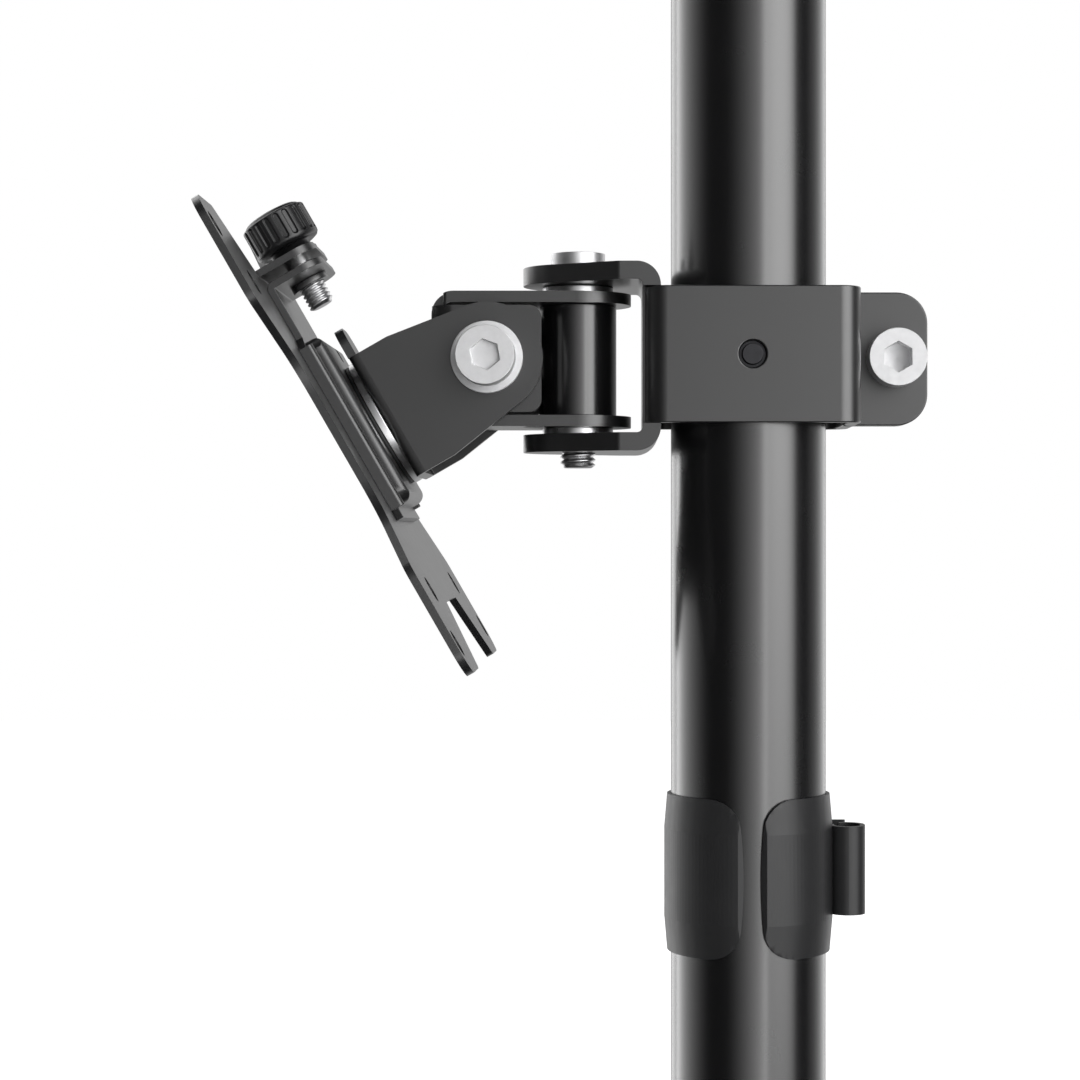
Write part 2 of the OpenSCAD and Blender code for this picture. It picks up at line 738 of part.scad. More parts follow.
module tilt_bolt() {
    length = 2 * tilt_out + 2 * washer_t + nut_h + 1;
    color("#d9dadb") translate([tilt_x, -tilt_out - washer_t, head_z]) rotate([90, 0, 0])
        cap_screw(cap_head_d, cap_head_h, bolt_d, length, socket_af, 1.2, 40, false);
}

module tilt_washers() {
    color("#c8cacc") for (y = [-tilt_out, tilt_out + washer_t])
        translate([tilt_x, y, head_z]) rotate([90, 0, 0])
            ring(washer_d / 2, bolt_bore_r, washer_t);
}

module tilt_nut() {
    color("#c4c6c8") translate([tilt_x, tilt_out + washer_t + nut_h, head_z])
        rotate([90, 0, 0]) nut(nut_af, nut_h, bolt_bore_r);
}

module thrust_disc() {
    color("#cfd1d3") in_head() head_ring(disc_n, disc_d / 2, bolt_bore_r, disc_t);
}

module friction_washer() {
    color("#161617") in_head() head_ring(friction_n, disc_d / 2 - 0.3, bolt_bore_r, friction_t);
}

// Outline of the receiver's pan in three views, drawn smaller by the sheet for its inside
module receiver_form(inset) {
    half = receiver_half - inset;
    low = receiver_low - inset;
    high = receiver_high - inset;
    back = receiver_n + inset;
    front = rim_n + (inset > 0 ? over : 0);
    corner_r = receiver_corner_r - inset;
    intersection() {
        translate([0, 0, -low]) linear_extrude(low + high) polygon(rounded([
            [front, -half, 0], [back, -half, rim_r - inset], [back, half, rim_r - inset],
            [front, half, 0]]));
        along_y(2 * half) polygon(rounded([
            [front, -low, 0], [back, -low, rim_low_r - inset], [back, high, rim_low_r - inset],
            [front, high, 0]]));
        along_x(back, front - back) polygon(rounded([
            [-half, -low, corner_r], [half, -low, corner_r], [half, high, corner_r],
            [-half, high, corner_r]]));
    }
}

module receiver_plate() {
    color("#46474a") in_head() difference() {
        receiver_form(0);
        receiver_form(sheet_t);
        head_cylinder(receiver_n - over, bolt_bore_r, sheet_t + 2 * over);
        translate([0, -receiver_half * 0.27, receiver_high - 3.5])
            head_cylinder(receiver_n - over, receiver_hole_d / 2, sheet_t + 2 * over);
    }
}

module pivot_rivet() {
    front_n = receiver_n + sheet_t;
    color("#bfc1c3") in_head() {
        head_cylinder(pivot_nut_n - 0.4, bolt_r, front_n - pivot_nut_n + 0.4 + pivot_head_h / 2);
        head_cylinder(front_n, pivot_head_d / 2, pivot_head_h);
    }
}

module pivot_washer() {
    color("#c4c6c8") in_head()
        head_ring(tilt_base_depth - tilt_t - pivot_washer_t, washer_d / 2, bolt_bore_r, pivot_washer_t);
}

module pivot_nut() {
    color("#c4c6c8") in_head() translate([pivot_nut_n, 0, 0]) rotate([0, 90, 0])
        nut(nut_af, thin_nut_h, bolt_bore_r);
}

// Tab that is bent off a sheet at the top and carries the thumb screw
module screw_tab(sheet_n, thickness, root_e, tab_e) {
    front_n = sheet_n + thickness;
    top_e = tab_e + sheet_t;
    intersection() {
        along_y(2 * tab_half) polygon(rounded([
            [front_n, root_e, 0], [front_n, top_e, tab_bend_r], [tab_end_n, top_e, 0],
            [tab_end_n, tab_e, 0], [sheet_n, tab_e, tab_bend_r - sheet_t], [sheet_n, root_e, 0]]));
        translate([0, 0, root_e - over]) linear_extrude(top_e - root_e + 2 * over)
            polygon(rounded([
                [front_n + over, -tab_half, 0], [tab_end_n, -tab_half, tab_corner_r],
                [tab_end_n, tab_half, tab_corner_r], [front_n + over, tab_half, 0]]));
    }
}

module pocket_bracket() {
    hem_l = pocket_low + pocket_high;
    hem_r = 1.1;
    color("#434447") in_head() difference() {
        union() {
            along_x(pocket_n, sheet_t) polygon(rounded([
                [-pocket_half + hem_w, -pocket_low, 0], [pocket_half - hem_w, -pocket_low, 0],
                [pocket_half - hem_w, pocket_high, 0], [tab_half, pocket_high + 3, 2],
                [-tab_half, pocket_high + 3, 2], [-pocket_half + hem_w, pocket_high, 0]]));
            for (side = [-1, 1]) {
                inner = side * (pocket_half - hem_w);
                translate([0, 0, -pocket_low]) linear_extrude(hem_l) polygon(rounded([
                    [plate_n, inner - side, 0], [plate_n, side * pocket_half, 0],
                    [hem_n, side * pocket_half, hem_r], [hem_n, inner, 0.5],
                    [pocket_n, inner, 0], [pocket_n, inner - side, 0]]));
            }
            along_x(pocket_n, sheet_t) polygon([
                [-pocket_half + 0.4, -pocket_low - toe_l], [pocket_half - 0.4, -pocket_low - toe_l],
                [pocket_half - 1.6, -pocket_low + 1], [-pocket_half + 1.6, -pocket_low + 1]]);
            screw_tab(pocket_n, sheet_t, pocket_high, lower_tab_e);
        }
        for (p = stud_places) translate([0, p[0], p[1]])
            head_cylinder(pocket_n - over, stud_r + fit, sheet_t + 2 * over);
        on_thumb(lower_tab_e - over) cylinder(h = sheet_t + 2 * over, r = thumb_r + fit, $fn = round_fn);
    }
}

module tab_nut() {
    color("#1d1d1f") in_head() on_thumb(lower_tab_e - tab_nut_h)
        ring(tab_nut_r, thumb_r + fit, tab_nut_h);
}

module hook_studs() {
    color("#b9bcc0") in_head() for (p = stud_places) translate([0, p[0], p[1]]) {
        head_cylinder(pocket_n, stud_r, sheet_t + plate_t + fit + stud_head_h / 2);
        head_cylinder(plate_n + plate_t + fit, stud_head_r, stud_head_h);
    }
}

module vesa_plate() {
    s = plate_half_h;
    t = plate_half_w;
    ns = notch_depth_s;
    nt = notch_depth_t;
    half_s = tab_half + 0.5;      // half of a top or bottom notch at its bottom
    half_t = 17;                  // half of a side notch at its bottom
    leg_r = 5.5;
    waist_r = 16;
    slot_r = stud_r + slot_play;
    corner = [
        [half_s, ns, 0.8], [half_s + s - ns, s, 3], [t, s, leg_r], [t, half_t + t - nt, 5],
        [nt, half_t, waist_r]];
    lower = [for (i = [len(corner) - 1 : -1 : 0]) [corner[i][0], -corner[i][1], corner[i][2]]];
    left = [for (p = concat(corner, lower)) [-p[0], p[1], p[2]]];
    outline = concat(corner, lower, [for (i = [len(left) - 1 : -1 : 0]) left[i]]);
    color("#4a4b4e") in_head() difference() {
        union() {
            translate([0, 0, plate_e]) along_x(plate_n, plate_t) polygon(rounded(outline));
            screw_tab(plate_n, plate_t, plate_e + ns - 2, upper_tab_e);
        }
        translate([0, 0, plate_e]) for (side = [hole_square_l, hole_square_s], y = [-1, 1], e = [-1, 1])
            translate([0, y * side / 2, e * side / 2])
                head_cylinder(plate_n - over, hole_d / 2, plate_t + 2 * over);
        for (p = stud_places) {
            translate([0, p[0], p[1]]) {
                translate([0, 0, slot_up]) head_cylinder(plate_n - over, slot_r, plate_t + 2 * over);
                translate([0, 0, -slot_down])
                    head_cylinder(plate_n - over, stud_head_r + slot_play, plate_t + 2 * over);
                translate([plate_n - over, -slot_r, -slot_down])
                    cube([plate_t + 2 * over, 2 * slot_r, slot_down + slot_up]);
            }
        }
        on_thumb(upper_tab_e - over) cylinder(h = sheet_t + 2 * over, r = thumb_r + 0.3, $fn = round_fn);
    }
}

module thumb_washer() {
    color("#1a1a1b") in_head() on_thumb(upper_tab_e + sheet_t)
        ring(thumb_washer_r, thumb_r + fit, thumb_washer_t);
}

module thumb_stud() {
    color("#c9cbcd") in_head() on_thumb(tip_e)
        cylinder(h = stud_top - tip_e, r = thumb_r, $fn = round_fn);
}

module thumb_knob() {
    cut_r = 0.85;
    chamfer = 1.2;
    color("#1e1e20") in_head() on_thumb(knob_e) difference() {
        union() {
            translate([0, 0, -knob_neck_h]) cylinder(h = knob_neck_h + 1, r = knob_neck_r, $fn = round_fn);
            difference() {
                rotate_extrude($fn = round_fn) polygon([
                    [0, 0], [knob_r - chamfer, 0], [knob_r, chamfer], [knob_r, knob_h - 0.5],
                    [knob_r - 0.5, knob_h], [0, knob_h]]);
                for (i = [0 : knob_flutes - 1])
                    rotate(i * 360 / knob_flutes) translate([knob_r + cut_r * 0.35, 0, chamfer])
                        cylinder(h = knob_h, r = cut_r, $fn = 24);
            }
            translate([0, 0, knob_h - 0.1])
                cylinder(h = dome_h + 0.1, r1 = knob_r - 0.9, r2 = knob_r - 2.6, $fn = round_fn);
        }
        translate([0, 0, -knob_neck_h - over])
            cylinder(h = stud_top - knob_e + knob_neck_h + over + fit, r = thumb_r + fit, $fn = round_fn);
    }
}

// Outline of the opening between the wings, in (x, z): each edge is one long arc that
// turns into the top and bottom edges through a small one
function wing_edge() =
    let (edge_x = clip_gap / 2,
         top = clip_h / 2,
         centre_x = edge_x + wing_r,
         corner_x = centre_x - sqrt(pow(wing_r - wing_corner_r, 2) - pow(top - wing_corner_r, 2)),
         meet = asin((top - wing_corner_r) / (wing_r - wing_corner_r)))
    [for (i = [0 : 6])
        let (a = 90 + (90 - meet) * i / 6)
        [corner_x, top - wing_corner_r] + wing_corner_r * [cos(a), sin(a)],
     for (i = [1 : 11])
        let (a = meet - 2 * meet * i / 12)
        [centre_x - wing_r * cos(a), wing_r * sin(a)],
     for (i = [6 : -1 : 0])
        let (a = 90 + (90 - meet) * i / 6)
        [corner_x + wing_corner_r * cos(a), wing_corner_r - top - wing_corner_r * sin(a)]];

// The cable hook's oval in plan, drawn smaller by the wall for its inside
module hook_outline(inset) {
    half_w = cable_hook_w / 2 - inset;
    half_l = cable_hook_l / 2 - inset;
    r = half_w - 0.02;
    polygon(rounded([
        [half_w, -half_l, r], [half_w, half_l, r], [-half_w, half_l, r], [-half_w, -half_l, r]]));
}

module cable_clip() {
    edge = wing_edge();
    top = clip_h / 2;
    mirrored = [for (i = [len(edge) - 1 : -1 : 0]) [-edge[i][0], edge[i][1]]];
    opening = concat([[edge[0][0], top + over]], edge, [[edge[0][0], -top - over]],
                     [[-edge[0][0], -top - over]], mirrored, [[-edge[0][0], top + over]]);
    color("#2c2d2f") difference() {
        union() {
            translate([0, 0, clip_z]) difference() {
                rotate_extrude($fn = round_fn) polygon([
                    [bore_r, -top], [clip_end_r, -top], [clip_r, clip_taper_h - top],
                    [clip_r, top - clip_taper_h], [clip_end_r, top], [bore_r, top]]);
                translate([0, -clip_r / 2 - over / 2, 0]) along_y(clip_r + over) polygon(opening);
            }
            translate([hook_x, hook_y, hook_z - cable_hook_h / 2]) difference() {
                linear_extrude(cable_hook_h) hook_outline(0);
                translate([0, 0, -over]) linear_extrude(cable_hook_h + 2 * over)
                    hook_outline(hook_wall);
                translate([clip_r - hook_x - over, hook_wall, -over])
                    cube([hook_slit + over, cable_hook_l, cable_hook_h + 2 * over]);
            }
            translate([0, 0, hook_z - cable_hook_h / 2]) linear_extrude(cable_hook_h)
                polygon(rounded([
                    [bore_r - 3, lip_y, 0], [lip_x, lip_y, 0.5], [lip_x, lip_y + hook_wall, 0.5],
                    [bore_r - 3, lip_y + hook_wall, 0]]));
        }
        translate([0, 0, clip_z - top - over])
            cylinder(h = clip_h + 2 * over, r = bore_r, $fn = round_fn);
    }
}

base_plate();
rubber_feet();
pole_socket();
base_screws();
socket_set_screws();
pole();
pole_cap();
clamp_front();
clamp_rear();
clevis_bracket();
clamp_screw();
clamp_washer();
clamp_nut();
pole_set_screw();
swivel_bolt();
swivel_washers();
thin_washer();
spacer_tube();
yoke_bracket();
tilt_sleeve();
side_washers();
tilt_bracket();
tilt_bolt();
tilt_washers();
tilt_nut();
thrust_disc();
friction_washer();
receiver_plate();
pivot_rivet();
pivot_washer();
pivot_nut();
pocket_bracket();
tab_nut();
hook_studs();
vesa_plate();
thumb_washer();
thumb_stud();
thumb_knob();
cable_clip();
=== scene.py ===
"""Dresses the monitor stand: a round pole that carries a folded-steel clamp, a tilting
head with a 75/100 mm mounting plate, and a moulded cable clip."""

import json
import math

import bmesh
import bpy
from mathutils import Matrix, Vector


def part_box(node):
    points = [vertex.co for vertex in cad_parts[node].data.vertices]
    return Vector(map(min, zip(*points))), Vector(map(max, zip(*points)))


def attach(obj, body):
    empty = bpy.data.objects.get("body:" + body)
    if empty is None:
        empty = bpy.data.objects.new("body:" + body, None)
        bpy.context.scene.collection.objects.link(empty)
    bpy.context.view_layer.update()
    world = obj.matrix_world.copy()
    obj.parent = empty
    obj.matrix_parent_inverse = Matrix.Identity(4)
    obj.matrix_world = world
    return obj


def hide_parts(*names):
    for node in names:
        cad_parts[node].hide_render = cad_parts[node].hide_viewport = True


bl_info = {
    "name": "Monitor Stand",
    "version": (1, 0, 0),
    "blender": (4, 5, 0),
    "location": "View3D > Sidebar > Monitor Stand",
    "description": "Adds the finished pieces of a pole-mounted monitor stand",
    "category": "Add Mesh",
}

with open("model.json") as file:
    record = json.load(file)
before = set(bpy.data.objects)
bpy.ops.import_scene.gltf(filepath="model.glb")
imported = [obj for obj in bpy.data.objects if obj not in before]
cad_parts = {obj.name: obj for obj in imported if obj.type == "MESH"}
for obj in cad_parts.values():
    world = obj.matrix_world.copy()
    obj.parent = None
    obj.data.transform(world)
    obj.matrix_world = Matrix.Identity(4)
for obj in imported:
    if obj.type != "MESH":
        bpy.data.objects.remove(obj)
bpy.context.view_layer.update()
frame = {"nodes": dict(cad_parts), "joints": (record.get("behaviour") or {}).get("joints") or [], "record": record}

MM = 0.001
# Points closer than this are one point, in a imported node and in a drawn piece.
NODE_WELD = 0.002 * MM
WELD = 0.001 * MM
# Points closer to a cutting plane than this are on it.
ON_PLANE = 0.0001 * MM
# Room round a bolt in its bore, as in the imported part, and round a drawn thread
BORE_GAP = 0.05 * MM
THREAD_GAP = 0.02 * MM
BODY_OF = {
    node: body
    for body, nodes in frame["record"]["behaviour"]["bodies"].items()
    for node in nodes
}
JOINTS = {joint["name"]: joint for joint in frame["joints"]}

# The tilting head has its own axes: n towards the monitor, y to the near side, e up the
# plate. They start on the tilt bolt's axis.
HEAD_N = Vector(JOINTS["roll"]["axis"]).normalized()
HEAD_E = Vector(JOINTS["release"]["axis"]).normalized()
HEAD_Y = HEAD_E.cross(HEAD_N)
TILT_AXIS = Vector(JOINTS["tilt"]["pos_m"])
SWIVEL_AXIS = Vector(JOINTS["swivel"]["pos_m"])
LOCK_AXIS = Vector(JOINTS["lock_turn"]["pos_m"])
HEAD = Matrix.Translation(TILT_AXIS) @ Matrix(
    (HEAD_N, HEAD_Y, HEAD_E)
).transposed().to_4x4()
HEAD_AXES = {"n": 0, "y": 1, "e": 2}


def linear(code):
    """Turns an sRGB hex colour into the linear RGBA that a shader takes."""
    channels = [int(code[i : i + 2], 16) / 255 for i in (1, 3, 5)]
    return tuple(
        c / 12.92 if c <= 0.04045 else ((c + 0.055) / 1.055) ** 2.4 for c in channels
    ) + (1.0,)


def node_size(node, axis):
    """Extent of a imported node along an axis, in metres."""
    low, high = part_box(node)
    return high[axis] - low[axis]


def head_span(node, axis):
    """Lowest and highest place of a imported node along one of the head's axes, in mm."""
    inward, verts = HEAD.inverted(), frame["nodes"][node].data.vertices
    places = [(inward @ vert.co)[HEAD_AXES[axis]] / MM for vert in verts]
    return min(places), max(places)


class StandSizes(bpy.types.PropertyGroup):
    sheet_edge: bpy.props.FloatProperty(
        name="Sheet edge",
        description="Width of the coated edge round the folded sheets",
        default=0.35 * MM,
        min=0.05 * MM,
        max=0.8 * MM,
        unit="LENGTH",
    )
    plate_edge: bpy.props.FloatProperty(
        name="Plate edge",
        description="Width of the crisp edge round the mounting plate and its pocket",
        default=0.14 * MM,
        min=0.05 * MM,
        max=0.5 * MM,
        unit="LENGTH",
    )
    fastener_edge: bpy.props.FloatProperty(
        name="Fastener edge",
        description="Width of the broken edge on feet, hidden nuts and studs",
        default=0.25 * MM,
        min=0.05 * MM,
        max=0.6 * MM,
        unit="LENGTH",
    )
    head_edge: bpy.props.FloatProperty(
        name="Head edge",
        description="Width of the broken edge on screw heads and washers",
        default=0.15 * MM,
        min=0.05 * MM,
        max=0.4 * MM,
        unit="LENGTH",
    )
    set_screw_edge: bpy.props.FloatProperty(
        name="Set screw edge",
        description="Width of the broken edge on small blackened screws",
        default=0.125 * MM,
        min=0.05 * MM,
        max=0.3 * MM,
        unit="LENGTH",
    )
    pole_radius: bpy.props.FloatProperty(
        name="Pole radius",
        description="Outer radius of the pole",
        default=node_size("pole", 0) / 2,
        unit="LENGTH",
    )
    pole_wall: bpy.props.FloatProperty(
        name="Pole wall",
        description="Wall of the pole's tube",
        default=2 * MM,
        unit="LENGTH",
    )
    bolt_radius: bpy.props.FloatProperty(
        name="Bolt radius",
        description="Radius of the M8 swivel, tilt and pivot bolts",
        default=4 * MM,
        unit="LENGTH",
    )
    facet_line: bpy.props.FloatProperty(
        name="Facet line",
        description="Distance from the clip's middle to where a wing's facet starts",
        default=3.05 * MM,
        unit="LENGTH",
    )
    facet_turn: bpy.props.FloatProperty(
        name="Facet turn",
        description="Angle between a wing's facet and its round face",
        default=math.radians(38),
        subtype="ANGLE",
    )
    wing_taper: bpy.props.FloatProperty(
        name="Wing taper",
        description="Height over which the clip's wings thin out at each end",
        default=7.6 * MM,
        unit="LENGTH",
    )
    bolt_pitch: bpy.props.FloatProperty(
        name="Bolt pitch",
        description="Thread pitch of the M8 swivel bolt",
        default=1.25 * MM,
        unit="LENGTH",
    )
    thumb_pitch: bpy.props.FloatProperty(
        name="Thumb screw pitch",
        description="Thread pitch of the M6 thumb screw",
        default=1.0 * MM,
        unit="LENGTH",
    )
    flutes: bpy.props.IntProperty(
        name="Flutes",
        description="Number of finger flutes round the thumb screw's knob",
        default=20,
        min=8,
        max=32,
    )
    flute_depth: bpy.props.FloatProperty(
        name="Flute depth",
        description="Depth of the finger flutes",
        default=0.45 * MM,
        min=0.1 * MM,
        max=0.9 * MM,
        unit="LENGTH",
    )


class StandFinish(bpy.types.PropertyGroup):
    coating: bpy.props.FloatVectorProperty(
        name="Powder coat",
        description="Colour of the coated sheets",
        default=linear("#111112"),
        size=4,
        subtype="COLOR",
    )
    enamel: bpy.props.FloatVectorProperty(
        name="Pole enamel",
        description="Colour of the pole's enamel",
        default=linear("#0a0a0b"),
        size=4,
        subtype="COLOR",
    )
    zinc: bpy.props.FloatVectorProperty(
        name="Zinc plating",
        description="Colour of the plated screws and washers",
        default=linear("#e0e0e1"),
        size=4,
        subtype="COLOR",
    )
    oxide: bpy.props.FloatVectorProperty(
        name="Black oxide",
        description="Colour of the blackened screws and the thumb screw's washer",
        default=linear("#3c3c3e"),
        size=4,
        subtype="COLOR",
    )
    knob: bpy.props.FloatVectorProperty(
        name="Knob plastic",
        description="Colour of the moulded knob and the pole's cap",
        default=linear("#19191a"),
        size=4,
        subtype="COLOR",
    )
    clip: bpy.props.FloatVectorProperty(
        name="Clip plastic",
        description="Colour of the moulded cable clip",
        default=linear("#1f1f20"),
        size=4,
        subtype="COLOR",
    )
    nylon: bpy.props.FloatVectorProperty(
        name="Nylon",
        description="Colour of the thin moulded washers",
        default=linear("#0f0f10"),
        size=4,
        subtype="COLOR",
    )
    rubber: bpy.props.FloatVectorProperty(
        name="Rubber",
        description="Colour of the feet",
        default=linear("#1a1a1a"),
        size=4,
        subtype="COLOR",
    )


class StandStage(bpy.types.PropertyGroup):
    camera_offset: bpy.props.FloatProperty(
        name="Camera offset",
        description="Distance from the pole's axis to the camera, to the right",
        default=-0.0302,
        unit="LENGTH",
    )
    camera_distance: bpy.props.FloatProperty(
        name="Camera distance",
        description="Distance from the camera to the pole's axis",
        default=0.58,
        unit="LENGTH",
    )
    camera_height: bpy.props.FloatProperty(
        name="Camera height",
        description="Height of the camera above the floor",
        default=0.301,
        unit="LENGTH",
    )
    key_radiance: bpy.props.FloatProperty(
        name="Key brightness",
        description="Radiance of the tall softbox beside the camera",
        default=4.2,
    )
    rim_radiance: bpy.props.FloatProperty(
        name="Rim brightness",
        description="Radiance of the tall strips beside and behind the stand",
        default=3.0,
    )


def add(tree, kind, settings=None, links=()):
    """Adds one node: settings are its properties and socket values, links its inputs."""
    node = tree.nodes.new(kind)
    for key, value in (settings or {}).items():
        if isinstance(key, str) and hasattr(node, key):
            setattr(node, key, value)
        else:
            node.inputs[key].default_value = value
    for key, source in links:
        tree.links.new(source, node.inputs[key])
    return node


def new_material(name):
    """Starts a material: its tree, its Principled shader and its Object coordinates."""
    material = bpy.data.materials.new(name)
    material.use_nodes = True
    tree = material.node_tree
    tree.nodes.clear()
    shader = add(tree, "ShaderNodeBsdfPrincipled")
    add(tree, "ShaderNodeOutputMaterial", links=[("Surface", shader.outputs[0])])
    place = add(tree, "ShaderNodeTexCoord").outputs["Object"]
    return material, tree, shader, place


def per_mm(size_mm):
    """Scale of a pattern on coordinates in metres whose features are size_mm across."""
    return 1 / (size_mm * MM)


def roughen(tree, shader, place, base, spread, size_mm):
    """Varies the roughness round its base value over patches size_mm across."""
    patches = add(
        tree,
        "ShaderNodeTexNoise",
        {"Scale": per_mm(size_mm), "Detail": 4.0, "Roughness": 0.6},
        [("Vector", place)],
    )
    ramp = add(
        tree,
        "ShaderNodeMapRange",
        {"From Min": 0.3, "From Max": 0.7, "To Min": base - spread, "To Max": base + spread},
        [("Value", patches.outputs["Fac"])],
    )
    tree.links.new(ramp.outputs["Result"], shader.inputs["Roughness"])


def tint(tree, shader, place, colour, change, size_mm):
    """Varies the colour by a share of itself over patches size_mm across."""
    patches = add(
        tree,
        "ShaderNodeTexNoise",
        {"Scale": per_mm(size_mm), "Detail": 3.0},
        [("Vector", place)],
    )
    ramp = add(tree, "ShaderNodeValToRGB", links=[("Fac", patches.outputs["Fac"])])
    low, high = ramp.color_ramp.elements
    low.position, high.position = 0.3, 0.7
    low.color = [c * (1 - change) for c in colour[:3]] + [1]
    high.color = [min(1, c * (1 + change)) for c in colour[:3]] + [1]
    tree.links.new(ramp.outputs["Color"], shader.inputs["Base Color"])


def grain(tree, shader, place, size_mm, depth_mm, detail=2.0):
    """Raises a fine random grain, size_mm across and depth_mm deep."""
    bumps = add(
        tree,
        "ShaderNodeTexNoise",
        {"Scale": per_mm(size_mm), "Detail": detail, "Roughness": 0.5},
        [("Vector", place)],
    )
    bump = add(
        tree,
        "ShaderNodeBump",
        {"Strength": 1.0, "Distance": depth_mm * MM},
        [("Height", bumps.outputs["Fac"])],
    )
    tree.links.new(bump.outputs["Normal"], shader.inputs["Normal"])


def powder_coated_steel(colour):
    """Steel sheet, cut, folded and powder coated: a dark satin with an orange-peel skin
    that softens reflections and lights up along every edge."""
    material, tree, shader, place = new_material("powder_coated_steel")
    shader.inputs["IOR"].default_value = 1.5
    shader.inputs["Coat Weight"].default_value = 1.0
    shader.inputs["Coat Roughness"].default_value = 0.3
    shader.inputs["Coat IOR"].default_value = 1.6
    tint(tree, shader, place, colour, 0.05, 9)
    roughen(tree, shader, place, 0.4, 0.03, 4)
    # Orange peel is 0.5 to 1 mm across; it stays shallow, so it only blurs the gloss.
    grain(tree, shader, place, 0.7, 0.0012)
    return material


def textured_steel_plate(colour):
    """Heavy steel plate, powder coated with a fine texture: darker and duller than the
    folded sheets, so that it blurs the studio where it is seen from low down."""
    material, tree, shader, place = new_material("textured_steel_plate")
    shader.inputs["IOR"].default_value = 1.5
    tint(tree, shader, place, colour, 0.06, 9)
    roughen(tree, shader, place, 0.66, 0.04, 3)
    grain(tree, shader, place, 0.9, 0.02)
    return material


def enamelled_tube(colour):
    """Steel tube, drawn and stove enamelled under a clear coat: near black, with long
    soft-edged reflections of the studio down its length."""
    material, tree, shader, place = new_material("enamelled_tube")
    shader.inputs["IOR"].default_value = 1.5
    shader.inputs["Coat Weight"].default_value = 1.0
    shader.inputs["Coat Roughness"].default_value = 0.2
    shader.inputs["Coat IOR"].default_value = 1.6
    tint(tree, shader, place, colour, 0.1, 20)
    roughen(tree, shader, place, 0.26, 0.02, 15)
    # The enamel's slow waves are a few millimetres long and under a micron high.
    grain(tree, shader, place, 5.0, 0.0006, detail=0.0)
    return material


def zinc_plated_steel(colour):
    """Cold-formed steel, bright zinc plated: pale silver, slightly milky, so screw heads
    read almost white and threads sparkle."""
    material, tree, shader, place = new_material("zinc_plated_steel")
    shader.inputs["Metallic"].default_value = 1.0
    tint(tree, shader, place, colour, 0.03, 2)
    roughen(tree, shader, place, 0.66, 0.04, 1.2)
    grain(tree, shader, place, 0.4, 0.0015)
    return material


def rolled_zinc_steel(colour):
    """Steel thread, rolled and zinc plated: brighter and sharper than the milled heads,
    so that every turn of the thread has its own glint."""
    material, tree, shader, place = new_material("rolled_zinc_steel")
    shader.inputs["Metallic"].default_value = 1.0
    tint(tree, shader, place, colour, 0.03, 2)
    roughen(tree, shader, place, 0.3, 0.03, 1.2)
    return material


def turned_zinc_steel(colour):
    """Steel head, turned and zinc plated: between the milky screw heads and the thread,
    with one broad highlight round its side."""
    material, tree, shader, place = new_material("turned_zinc_steel")
    shader.inputs["Metallic"].default_value = 1.0
    tint(tree, shader, place, colour, 0.03, 2)
    roughen(tree, shader, place, 0.44, 0.03, 1.2)
    return material


def black_oxide_steel(colour):
    """Turned steel, chemically blackened: a thin dark skin that still shines as metal."""
    material, tree, shader, place = new_material("black_oxide_steel")
    shader.inputs["Metallic"].default_value = 1.0
    tint(tree, shader, place, colour, 0.08, 2)
    roughen(tree, shader, place, 0.32, 0.04, 1.5)
    grain(tree, shader, place, 0.4, 0.001)
    return material


def moulded_abs(colour):
    """ABS, injection moulded in a fine-sparked tool: charcoal with a soft even sheen."""
    material, tree, shader, place = new_material("moulded_abs")
    shader.inputs["IOR"].default_value = 1.53
    tint(tree, shader, place, colour, 0.05, 6)
    roughen(tree, shader, place, 0.31, 0.03, 2)
    # Spark-eroded texture is about 0.2 mm; it is drawn at 0.3 mm so that it shows.
    grain(tree, shader, place, 0.3, 0.002)
    return material


def moulded_polypropylene(colour):
    """Polypropylene, injection moulded in a polished tool: darker and glossier than the
    knob, with the key light as one broad soft stripe."""
    material, tree, shader, place = new_material("moulded_polypropylene")
    shader.inputs["IOR"].default_value = 1.45
    tint(tree, shader, place, colour, 0.05, 8)
    roughen(tree, shader, place, 0.37, 0.02, 3)
    grain(tree, shader, place, 0.5, 0.0008)
    return material


def moulded_nylon(colour):
    """Black nylon, moulded: a dull washer whose rim shows as a dark line."""
    material, tree, shader, place = new_material("moulded_nylon")
    shader.inputs["IOR"].default_value = 1.53
    tint(tree, shader, place, colour, 0.1, 3)
    roughen(tree, shader, place, 0.5, 0.04, 2)
    grain(tree, shader, place, 0.3, 0.001)
    return material


def moulded_rubber(colour):
    """Rubber, compression moulded: flat black with a dusty, dry-looking surface."""
    material, tree, shader, place = new_material("moulded_rubber")
    shader.inputs["IOR"].default_value = 1.52
    tint(tree, shader, place, colour, 0.12, 3)
    roughen(tree, shader, place, 0.75, 0.05, 2)
    grain(tree, shader, place, 0.5, 0.01)
    return material


# Each finish: how it is made, and the colour that it takes.
RECIPES = {
    "sheet": (powder_coated_steel, "coating"),
    "base": (textured_steel_plate, "coating"),
    "pole": (enamelled_tube, "enamel"),
    "steel": (zinc_plated_steel, "zinc"),
    "thread": (rolled_zinc_steel, "zinc"),
    "head": (turned_zinc_steel, "zinc"),
    "dark_steel": (black_oxide_steel, "oxide"),
    "plastic": (moulded_abs, "knob"),
    "clip": (moulded_polypropylene, "clip"),
    "nylon": (moulded_nylon, "nylon"),
    "rubber": (moulded_rubber, "rubber"),
}


def material_for(key):
    """The finish called key, made the first time that a piece asks for it."""
    recipe, colour = RECIPES[key]
    made = bpy.data.materials.get(recipe.__name__)
    return made or recipe(getattr(bpy.context.scene.stand_finish, colour))


